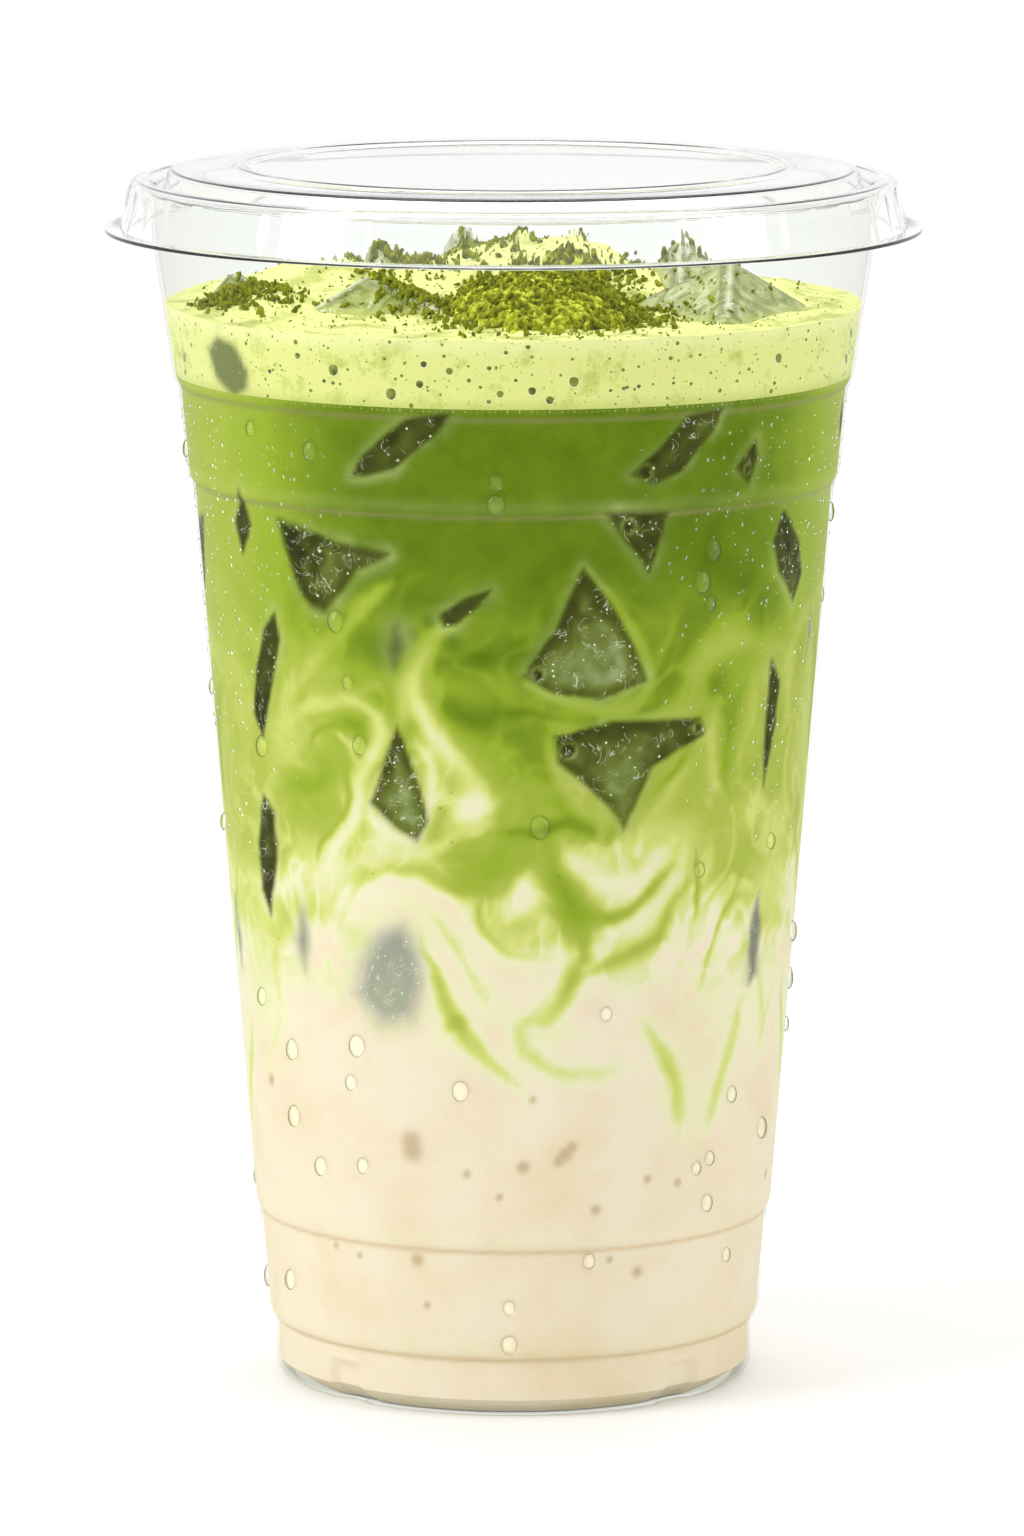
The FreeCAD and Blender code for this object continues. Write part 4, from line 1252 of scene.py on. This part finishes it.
class LATTE_OT_foam(bpy.types.Operator):
    """Make the foam with its mounds and the pockets that the ice sits in"""
    bl_idname = "latte.foam"
    bl_label = "Foam"

    def execute(self, context):
        cup, drink, topping, colours = settings()
        inset = (cup.wall - drink.bite) / MM
        segments = 360
        angles = np.arange(segments) * TURN / segments
        bottom = RIM_TOP - (drink.foam_below_rim + drink.foam_depth) / MM
        noise = Noise(topping.seed + 1)
        edge = wall_radius(cup, bottom + 9, inset)
        rim_x, rim_y = edge * np.cos(angles), edge * np.sin(angles)
        ragged = 0.35 * noise.layers(np.stack([rim_x, rim_y, 0 * rim_x], -1) / 7.0, 3)
        top = foam_height(drink, rim_x, rim_y) + ragged
        points, faces, heights = shell(
            bottom + 0 * angles, top, lambda h: wall_radius(cup, h, inset), 0.5)
        blocks = [surface_of(name + "_block") for name, *_ in ICE_BLOCKS]

        def surface(flat, share):
            made = flat.copy()
            rough = noise.layers(flat * [1, 1, 0] / 6.0 + 5, 4)
            fine = noise.layers(flat * [1, 1, 0] / 1.6 + 5, 2)
            made[:, 2] = foam_height(drink, flat[:, 0], flat[:, 1]) + 0.5 * rough + 0.1 * fine
            return made
        middle = np.array([0.0, 0.0, float(foam_height(drink, np.zeros(1), np.zeros(1))[0])])
        top_first = (len(heights) - 1) * segments
        points, faces = fan_cap(points, faces, top_first, segments, middle, 90, surface)
        points, faces = flat_cap(points, faces, 0, segments, bottom, 6)
        count = len(heights) * segments
        for index in range(count, count + 89 * segments + 1):
            x, y, z = points[index]
            for tree in blocks:
                hit = tree.ray_cast(Vector((x * MM, y * MM, 0.2)), Vector((0, 0, -1)))[0]
                if hit is None or hit.z / MM < z + 0.35:
                    continue
                low = tree.ray_cast(Vector((x * MM, y * MM, 0.05)), Vector((0, 0, 1)))[0]
                points[index, 2] = min(points[index, 2], max(low.z / MM - 0.2, bottom + 0.5))
        made = mesh_object("foam_layer", points, faces)
        tidy_mesh(made, 0.0005)
        points = mesh_points(made)
        angle = keep_angle(points)
        reach = np.hypot(points[:, 0], points[:, 1])
        cover, halo = sunk_ice(
            cup, angle, points[:, 2], noise, [FOAM_ICE],
            [(0, 1, 0, 90), (150, -1, 0.5, 90), (-110, 1, 0, 90)])[:2]
        side = reach > wall_radius(cup, points[:, 2], inset) - 0.3
        crest = smooth_step(RIM_TOP - drink.foam_below_rim / MM - 2.6,
                            RIM_TOP - drink.foam_below_rim / MM - 0.2, points[:, 2])
        foot = 1 - smooth_step(bottom, bottom + 2.2, points[:, 2])
        write_attribute(made, "marble", [np.where(side, 0.55 * crest, 0.1),
                                         np.where(side, 0.6 * foot, 0), 0 * foot])
        dust = np.zeros(len(points))
        for _, heap_angle, distance, width, depth_size, _ in POWDER_HEAPS:
            turn = math.radians(heap_angle)
            dx = (points[:, 0] - distance * math.cos(turn)) / width
            dy = (points[:, 1] - distance * math.sin(turn)) / depth_size
            dust = np.maximum(dust, 1 - smooth_step(0.7, 1.5, np.hypot(dx, dy)))
        speck = smooth_step(0.05, 0.3, noise.layers(points / 1.3, 3))
        blotch = smooth_step(-0.05, 0.35, noise.layers(points / 6.0 + 21, 4))
        dust = np.where(side, 0, np.clip(dust * speck * 0.8 + 0.5 * blotch, 0, 0.85))
        write_attribute(made, "ice", [np.where(side, cover, 0), np.where(side, halo, 0), dust])
        finish_piece(made, foam_material("whisked_milk_foam", colours), ["foam"])
        return {"FINISHED"}


class LATTE_OT_powder(bpy.types.Operator):
    """Make the heaps of tea powder and the clumps and grains round them"""
    bl_idname = "latte.powder"
    bl_label = "Tea powder"

    def execute(self, context):
        drink, topping, colours = settings()[1:]
        material = powder_material(colours)
        noise = Noise(topping.seed + 2)
        for heap in POWDER_HEAPS:
            made = self.heap(drink, noise, *heap)
            finish_piece(made, material, [heap[0]])
        self.grains(topping, material)
        return {"FINISHED"}

    def heap(self, drink, noise, name, angle, distance, width, depth, rise):
        """One heap: a ragged cap of powder that is closed inside the foam."""
        turn = math.radians(angle)
        cx, cy = distance * math.cos(turn), distance * math.sin(turn)
        rings, segments = int(depth / 0.25), 240
        share, theta = np.meshgrid(np.arange(1, rings + 1) / rings,
                                   np.arange(segments) * TURN / segments, indexing="ij")
        lobe = 1 - 0.12 * (1 + np.cos(5 * theta)) / 2
        points = np.stack([cx + share * lobe * width * np.cos(theta),
                           cy + share * lobe * depth * np.sin(theta), 0 * share], -1)
        points = np.concatenate([[[cx, cy, 0.0]], points.reshape(-1, 3)])
        share = np.hypot((points[:, 0] - cx) / width, (points[:, 1] - cy) / depth)
        swirl = np.stack([noise.layers(points / 3.4 + k, 2) for k in (2, 9)], -1)
        bent = points.copy()
        bent[:, :2] += 1.6 * swirl
        curls = 1 - 2.6 * np.abs(noise.layers(bent / 1.9, 2))
        crumbs = noise.layers(points / 0.8 + 4, 2)
        relief = np.clip(0.75 * curls + 0.55 * crumbs, -1, 1)
        body = rise * np.exp(-1.6 * share ** 2)
        ragged = share + 0.16 * noise.layers(points / 3.0 + 30, 3)
        edge = smooth_step(0.98, 0.72, ragged)
        points[:, 2] = (foam_height(drink, points[:, 0], points[:, 1]) - 0.5
                        + edge * (0.45 + body * 0.9 + 0.95 * relief))
        faces = [(0, 1 + seg, 1 + (seg + 1) % segments) for seg in range(segments)]
        faces += grid_faces(rings, segments, 1)
        # A skirt and a floor close the heap inside the foam.
        first = 1 + (rings - 1) * segments
        rim = points[first:first + segments].copy()
        rim[:, 2] -= 1.2
        start = len(points)
        points = np.concatenate([points, rim, [[cx, cy, rim[:, 2].mean()]]])
        for seg in range(segments):
            side = (seg + 1) % segments
            faces.append((first + seg, start + seg, start + side, first + side))
            faces.append((start + side, start + seg, start + segments))
        made = mesh_object(name + "_powder", points, faces)
        relief = np.concatenate([relief, np.zeros(segments + 1)])
        layer = made.data.attributes.new("relief", "FLOAT", "POINT")
        layer.data.foreach_set("value", (0.42 * relief).astype(np.float32))
        tidy_mesh(made, 0.0005)
        return made

    def grains(self, topping, material):
        """Loose clumps: thick on the heaps, thinner on foam and ice."""
        random = np.random.RandomState(topping.seed + 5)
        names = ["foam_layer"] + [name + "_powder" for name, *_ in POWDER_HEAPS]
        names += [name + "_block" for name, *_ in ICE_BLOCKS]
        trees = [surface_of(name) for name in names]
        points, sizes = [], []
        for x, y, wide, deep, count, size in GRAIN_PATCHES:
            for _ in range(count):
                spot = (x + wide * random.normal(), y + deep * random.normal())
                if math.hypot(*spot) > 43.5:
                    continue
                hits = [tree.ray_cast(Vector((spot[0] * MM, spot[1] * MM, 0.2)),
                                      Vector((0, 0, -1)))[0] for tree in trees]
                top = max(hit.z / MM for hit in hits if hit is not None)
                grain = size * (0.35 + 0.9 * random.rand() ** 2)
                points.append((*spot, top + 0.12 * grain))
                sizes.append(grain)
        facings = random.normal(size=(len(points), 3))
        tree = scatter_tree("grain_tree", material)
        made = grown("powder_grains", points, sizes, facings, tree, {
            "Width": topping.grain, "Flatness": 0.5, "Stretch": 1.7, "Detail": 1})
        layer = made.data.attributes.new("relief", "FLOAT", "POINT")
        layer.data.foreach_set("value", np.full(len(made.data.vertices), 0.12, np.float32))
        finish_piece(made, material)


class LATTE_OT_bubbles(bpy.types.Operator):
    """Make the larger bubbles of the foam that lie against the wall"""
    bl_idname = "latte.bubbles"
    bl_label = "Foam bubbles"

    def execute(self, context):
        cup, drink, topping = settings()[:3]
        random = np.random.RandomState(topping.seed + 9)
        angles = [angle for angle, height, radius in FOAM_BUBBLES]
        levels = [height for angle, height, radius in FOAM_BUBBLES]
        sizes = [2 * radius for angle, height, radius in FOAM_BUBBLES]
        low = RIM_TOP - (drink.foam_below_rim + drink.foam_depth) / MM
        for _ in range(260):
            angles.append(random.uniform(-180, 180))
            levels.append(low + 1.4 + 7.2 * random.rand())
            sizes.append(0.28 + 0.5 * random.rand() ** 3)
        for _ in range(24):
            angles.append(random.uniform(70, 290))
            levels.append(low + 1.6 + 5.5 * random.rand())
            sizes.append(0.9 + 0.8 * random.rand())
        material = bubble_material()
        tree = scatter_tree("bubble_tree", material)
        made = on_wall(cup, "bubbles", angles, levels, sizes, tree, {
            "Width": 1.0 * MM, "Flatness": 0.28, "Stretch": 1.08, "Detail": 3},
            (cup.wall - drink.bite) / MM + 0.06)
        finish_piece(made, material)
        return {"FINISHED"}


def lug_dents(angle, radius, height):
    """Soft upright recesses round the foot, faded out at their edges."""
    turn = (np.degrees(angle) - 45.0 + 45.0) % (360.0 / LUG_COUNT) - 45.0
    across = np.radians(turn) * radius
    soft = 1 - smooth_step(LUG_WIDTH * 0.22, LUG_WIDTH * 0.5, np.abs(across))
    level = 1 - smooth_step(LUG_HEIGHT - 1.6, LUG_HEIGHT, height)
    outer = smooth_step(26.5, 28.5, radius)
    return LUG_DEPTH * soft * level * outer


def on_wall(cup, name, angles, levels, sizes, tree, inputs, sink):
    """Small round things set on the cup's side, some way inside its outer face."""
    turned = np.radians(angles)
    levels = np.asarray(levels, float)
    radius = wall_radius(cup, levels) - sink
    out = np.stack([np.sin(turned), -np.cos(turned), 0.0 * turned], -1)
    points = out * radius[:, None] + np.array([0, 0, 1]) * levels[:, None]
    return grown(name, points, sizes, out, tree, inputs)


class LATTE_OT_cup(bpy.types.Operator):
    """Make the clear cup with its ledges, rim and foot"""
    bl_idname = "latte.cup"
    bl_label = "Cup"

    def execute(self, context):
        cup = settings()[0]
        foot = cup.foot_radius / MM
        wall = cup.wall / MM
        ring = foot - FOOT_CORNER - RING_WIDTH
        outside = side_outline(foot, 0.0, RIM_BASE)
        inside = side_outline(foot, wall, RIM_BASE)
        bead_middle = outside[-1][0] - BEAD_REACH
        bore = outside[-1][0] - wall
        first = math.acos((outside[-1][0] - bead_middle) / BEAD_RADIUS)
        last = math.acos((bore - bead_middle) / BEAD_RADIUS)
        bead = [(bead_middle + BEAD_RADIUS * math.cos(a), RIM_BASE + BEAD_RADIUS * math.sin(a))
                for a in np.linspace(-first, last, 22)]
        outside = [p for p in outside if p[1] < bead[0][1] - 0.05]
        outline = [(0.02, BASE_RECESS), (ring - RECESS_SLOPE, BASE_RECESS), (ring, 0.0)]
        outline += outside + bead + list(reversed(inside))
        outline += [(ring + wall, wall), (ring + wall - RECESS_SLOPE, BASE_RECESS + wall),
                    (0.02, BASE_RECESS + wall)]
        made = revolve("cup_shell", outline, cup.segments, lug_dents)
        tidy_mesh(made, 0.0005)
        finish_piece(made, pet_material("clear_pet_cup", 0.12), ["cup"])
        return {"FINISHED"}


class LATTE_OT_lid(bpy.types.Operator):
    """Make the flat clear lid with its fluted skirt"""
    bl_idname = "latte.lid"
    bl_label = "Lid"

    def execute(self, context):
        cup = settings()[0]
        sheet = cup.sheet / MM
        rim_radius = float(wall_radius(cup, RIM_BASE))
        bead_outer = rim_radius - BEAD_REACH + BEAD_RADIUS
        roof = RIM_TOP + LID_CLEARANCE
        skirt_top = bead_outer + SKIRT_CLEARANCE
        skirt_foot = skirt_top + SKIRT_FLARE
        brim = roof - SKIRT_DROP
        plug = rim_radius - cup.wall / MM - PLUG_CLEARANCE
        flat_edge = plug - PANEL_EDGE_WIDTH
        flat = roof - PLUG_DEPTH
        panel = flat + PANEL_RISE
        ring_out = flat_edge - PANEL_STEP_LEAN - PANEL_RING_INSET
        ring_in = ring_out - PANEL_RING_WIDTH
        ring = panel + PANEL_RING_RISE
        under = [
            (skirt_foot + BRIM_WIDTH, brim), (skirt_foot, brim), (skirt_top, roof - sheet),
            (skirt_top - sheet, roof), (plug + sheet, roof), (plug, roof - sheet),
            (plug, flat), (flat_edge, flat), (flat_edge - PANEL_STEP_LEAN, panel),
            (ring_out, panel), (ring_out - PANEL_RING_RISE, ring), (ring_in, ring),
            (ring_in - PANEL_RING_RISE, panel), (0.02, panel)]
        under = rounded(under, 0.35)
        over = offset_outline(under, sheet)
        outline = under + list(reversed(over))

        def flutes(angle, radius, height):
            level = smooth_step(brim + 0.5, brim + 1.4, height)
            level = level * (1 - smooth_step(roof - 1.6, roof - 0.4, height))
            outer = smooth_step(skirt_top - 0.6, skirt_top - 0.2, radius)
            wave = np.abs(np.sin(angle * cup.flute_count / 2)) ** 0.7
            return cup.flute_depth / MM * (1 - wave) * level * outer
        made = revolve("lid_shell", outline, cup.flute_count * 10, flutes)
        tidy_mesh(made, 0.0005)
        material = clear_material("clear_pet_lid", 1.45, linear("#ffffff"))
        finish_piece(made, material, ["lid"])
        return {"FINISHED"}


def rounded(points, radius):
    """Corners of a line of points turned into short curves."""
    made = [points[0]]
    for before, here, after in zip(points, points[1:], points[2:]):
        back = min(radius, math.dist(before, here) * 0.45)
        on = min(radius, math.dist(here, after) * 0.45)
        start = tuple(h + (b - h) * back / math.dist(before, here)
                      for h, b in zip(here, before))
        end = tuple(h + (a - h) * on / math.dist(here, after) for h, a in zip(here, after))
        made += line(made[-1], start, 4.0)
        made += arc(start, end, here, 4)
    return made + line(made[-1], points[-1], 4.0)


def offset_outline(points, shift):
    """The same outline moved to its upper side along its normals."""
    points = np.array(points)
    run = np.gradient(points, axis=0)
    run /= np.linalg.norm(run, axis=1)[:, None]
    moved = points + shift * np.stack([run[:, 1], -run[:, 0]], axis=1)
    moved[:, 0] = np.maximum(moved[:, 0], 0.02)
    moved[-1, 0] = 0.02
    return [tuple(p) for p in moved]


# ---------------------------------------------------------------- droplets

# Droplets on the side shown: angle and height. More are scattered over the rest.
DROPLETS = [
    (-51, 129), (-37, 127), (-3, 124), (-3, 121), (-34, 105), (-32, 97), (-30, 89), (-56, 87),
    (5, 79), (61, 74), (39, 72), (38, 114), (36, 110), (38, 107), (-64, 53), (-53, 47),
    (-34, 49), (-36, 44), (-11, 44), (-54, 38), (-46, 32), (-34, 33), (19, 54), (53, 41),
    (68, 35), (47, 33), (43, 32), (47, 27), (57, 19), (17, 21), (-1, 15), (-1, 10), (-63, 15),
]


def scatter_tree(name, material):
    """Geometry nodes: one droplet on each point, sized, turned and made real."""
    tree = bpy.data.node_groups.new(name, "GeometryNodeTree")
    face = tree.interface
    face.new_socket("Geometry", in_out="INPUT", socket_type="NodeSocketGeometry")
    for socket in ("Width", "Flatness", "Stretch"):
        face.new_socket(socket, in_out="INPUT", socket_type="NodeSocketFloat")
    face.new_socket("Detail", in_out="INPUT", socket_type="NodeSocketInt")
    face.new_socket("Geometry", in_out="OUTPUT", socket_type="NodeSocketGeometry")
    start = add(tree, "NodeGroupInput")
    size = add(tree, "GeometryNodeInputNamedAttribute", {"Name": "size"}, data_type="FLOAT")
    facing = add(tree, "GeometryNodeInputNamedAttribute", {"Name": "facing"},
                 data_type="FLOAT_VECTOR")
    turn = add(tree, "FunctionNodeAxesToRotation", {
        0: facing.outputs[0], 1: (0.0, 0.0, 1.0)}, primary_axis="Z", secondary_axis="Y")
    ball = add(tree, "GeometryNodeMeshIcoSphere", {
        "Radius": 0.5, "Subdivisions": start.outputs["Detail"]})
    wide = add(tree, "ShaderNodeMath", {0: size.outputs[0], 1: start.outputs["Width"]},
               operation="MULTIPLY")
    thin = add(tree, "ShaderNodeMath", {0: wide.outputs[0], 1: start.outputs["Flatness"]},
               operation="MULTIPLY")
    tall = add(tree, "ShaderNodeMath", {0: wide.outputs[0], 1: start.outputs["Stretch"]},
               operation="MULTIPLY")
    shape = add(tree, "ShaderNodeCombineXYZ", {
        "X": wide.outputs[0], "Y": tall.outputs[0], "Z": thin.outputs[0]})
    drops = add(tree, "GeometryNodeInstanceOnPoints", {
        "Points": start.outputs["Geometry"], "Instance": ball.outputs["Mesh"],
        "Rotation": turn.outputs[0], "Scale": shape.outputs[0]})
    real = add(tree, "GeometryNodeRealizeInstances", {"Geometry": drops.outputs[0]})
    dressed = add(tree, "GeometryNodeSetMaterial", {
        "Geometry": real.outputs[0], "Material": material})
    smooth = add(tree, "GeometryNodeSetShadeSmooth", {"Geometry": dressed.outputs[0]})
    add(tree, "NodeGroupOutput", {"Geometry": smooth.outputs[0]})
    return tree


def grown(name, points, sizes, facings, tree, inputs):
    """Points turned by a node tree into one plain mesh."""
    seed = mesh_object(name + "_points", points, [], smooth=False)
    layer = seed.data.attributes.new("size", "FLOAT", "POINT")
    layer.data.foreach_set("value", np.asarray(sizes, np.float32))
    layer = seed.data.attributes.new("facing", "FLOAT_VECTOR", "POINT")
    layer.data.foreach_set("vector", np.asarray(facings, np.float32).reshape(-1))
    live = seed.modifiers.new("grow", "NODES")
    live.node_group = tree
    for item in tree.interface.items_tree:
        if item.in_out == "INPUT" and item.name in inputs:
            live[item.identifier] = inputs[item.name]
    bpy.context.view_layer.update()
    graph = bpy.context.evaluated_depsgraph_get()
    mesh = bpy.data.meshes.new_from_object(seed.evaluated_get(graph))
    mesh.name = name
    made = bpy.data.objects.new(name, mesh)
    bpy.context.collection.objects.link(made)
    bpy.data.objects.remove(seed)
    return made


class LATTE_OT_droplets(bpy.types.Operator):
    """Scatter water droplets and mist over the outside of the cup"""
    bl_idname = "latte.droplets"
    bl_label = "Droplets"

    def execute(self, context):
        cup, _, topping, _ = settings()
        random = np.random.RandomState(topping.seed)
        angles = [float(a) for a, z in DROPLETS]
        levels = [float(z) for a, z in DROPLETS]
        while len(angles) < len(DROPLETS) + 60:
            angle, level = random.uniform(80, 280), random.uniform(9, 130)
            angles.append(angle)
            levels.append(level)
        sizes = 0.75 + 0.5 * random.rand(len(angles))
        # The droplets' olive outline colour is painted shade.
        water = clear_material("water", 1.33, linear("#8b9650"))
        tree = scatter_tree("droplet_tree", water)
        made = on_wall(cup, "droplets", angles, levels, sizes, tree, {
            "Width": topping.droplet, "Flatness": 0.5, "Stretch": 1.25, "Detail": 4}, 0.12)
        finish_piece(made, water)
        count = 3000
        angles = random.uniform(0, 360, count)
        levels = random.uniform(70, 131, count)
        patchy = (levels - 104) / 40 - np.cos(np.radians(angles) * 3 + 0.3)
        keep = patchy + random.rand(count) > 0.9
        angles, levels = angles[keep], levels[keep]
        sizes = 0.5 + random.rand(len(angles)) ** 2
        made = on_wall(cup, "mist", angles, levels, sizes, tree, {
            "Width": topping.mist, "Flatness": 0.6, "Stretch": 1.1, "Detail": 2}, 0.02)
        finish_piece(made, water)
        return {"FINISHED"}


# ---------------------------------------------------------------- stage

# Half the floor's side, in millimetres.
FLOOR_REACH = 14000.0
# Soft lamps: place and size in metres, power in watts; all aim at one point.
LAMPS = [
    ("key", (-1.05, -0.55, 0.7), (0.6, 1.1), 8.8),
    ("fill", (1.1, -0.45, 0.5), (0.6, 1.0), 4.4),
    ("top", (0.0, 0.35, 1.25), (0.9, 0.9), 5.2),
]
LAMPS_AIM = (0, 0, 0.08)
# The camera: lens in millimetres, place and reach in metres, look down in degrees.
CAMERA_LENS = 223.4
CAMERA_REACH = 100.0
CAMERA_PLACE = (-0.0002, -1.2415, 0.2751)
CAMERA_DIP = 8.9


class LATTE_OT_stage(bpy.types.Operator):
    """Make the floor, the lamps, the sky and the camera"""
    bl_idname = "latte.stage"
    bl_label = "Stage"

    def execute(self, context):
        scene = context.scene
        corners = [(x * FLOOR_REACH, y * FLOOR_REACH, 0)
                   for x, y in ((-1, -1), (1, -1), (1, 1), (-1, 1))]
        floor = mesh_object("floor", corners, [(0, 1, 2, 3)], smooth=False)
        made, tree, out = new_material("studio_floor")
        diffuse = add(tree, "ShaderNodeBsdfDiffuse", {"Color": grey(0.90)})
        # Far from the lamps the floor is lifted to the same white as beside the cup.
        place = add(tree, "ShaderNodeTexCoord")
        away = add(tree, "ShaderNodeVectorMath", {0: place.outputs["Object"]}, operation="LENGTH")
        lift = add(tree, "ShaderNodeMapRange", {
            "Value": away.outputs["Value"], "From Min": 0.3, "From Max": 2.5,
            "To Min": 0.12, "To Max": 0.5})
        glow = add(tree, "ShaderNodeEmission", {"Color": grey(1.0),
                                                "Strength": lift.outputs["Result"]})
        both = add(tree, "ShaderNodeAddShader", {0: diffuse.outputs[0], 1: glow.outputs[0]})
        only = add(tree, "ShaderNodeMixShader", {
            "Fac": white_ground(tree), 1: diffuse.outputs[0], 2: both.outputs[0]})
        tree.links.new(only.outputs[0], out.inputs["Surface"])
        floor.data.materials.append(made)

        world = bpy.data.worlds.new("studio")
        world.use_nodes = True
        tree = world.node_tree
        tree.nodes.clear()
        strength = add(tree, "ShaderNodeMapRange", {
            "Value": white_ground(tree), "To Min": 0.63, "To Max": 1.0})
        sky = add(tree, "ShaderNodeBackground", {
            "Color": grey(1.0), "Strength": strength.outputs["Result"]})
        end = add(tree, "ShaderNodeOutputWorld")
        tree.links.new(sky.outputs[0], end.inputs["Surface"])
        scene.world = world

        for name, place, size, power in LAMPS:
            data = bpy.data.lights.new(name, "AREA")
            data.shape = "RECTANGLE"
            data.size, data.size_y = size
            data.energy = power
            lamp = bpy.data.objects.new(name, data)
            lamp.location = place
            aim = Vector(LAMPS_AIM) - lamp.location
            lamp.rotation_euler = aim.to_track_quat("-Z", "Y").to_euler()
            scene.collection.objects.link(lamp)

        data = bpy.data.cameras.new("camera")
        data.lens = CAMERA_LENS
        data.sensor_width = 36.0
        data.clip_end = CAMERA_REACH
        camera = bpy.data.objects.new("camera", data)
        camera.location = CAMERA_PLACE
        camera.rotation_euler = (math.radians(90 - CAMERA_DIP), 0, 0)
        scene.collection.objects.link(camera)
        scene.camera = camera
        scene.view_settings.view_transform = "Standard"
        return {"FINISHED"}


class LATTE_PT_panel(bpy.types.Panel):
    """Buttons that make each part of the drink"""
    bl_idname = "LATTE_PT_panel"
    bl_label = "Iced matcha latte"
    bl_space_type = "VIEW_3D"
    bl_region_type = "UI"
    bl_category = "Iced latte"

    def draw(self, context):
        for group in settings():
            box = self.layout.box()
            for name in group.__annotations__:
                box.prop(group, name)
        for step in STEPS:
            self.layout.operator(step.bl_idname)


GROUPS = [("latte_cup", CupSizes), ("latte_drink", DrinkSizes),
          ("latte_topping", ToppingSizes), ("latte_colours", Colours)]
STEPS = [LATTE_OT_stage, LATTE_OT_ice, LATTE_OT_drink, LATTE_OT_foam, LATTE_OT_powder,
         LATTE_OT_bubbles, LATTE_OT_cup, LATTE_OT_lid, LATTE_OT_droplets]


def register():
    for name, group in GROUPS:
        bpy.utils.register_class(group)
        setattr(bpy.types.Scene, name, bpy.props.PointerProperty(type=group))
    for step in STEPS:
        bpy.utils.register_class(step)
    bpy.utils.register_class(LATTE_PT_panel)


def unregister():
    bpy.utils.unregister_class(LATTE_PT_panel)
    for step in reversed(STEPS):
        bpy.utils.unregister_class(step)
    for name, group in reversed(GROUPS):
        delattr(bpy.types.Scene, name)
        bpy.utils.unregister_class(group)


def main():
    register()
    for step in STEPS:
        space, action = step.bl_idname.split(".")
        getattr(getattr(bpy.ops, space), action)()


if __name__ == "__main__":
    main()
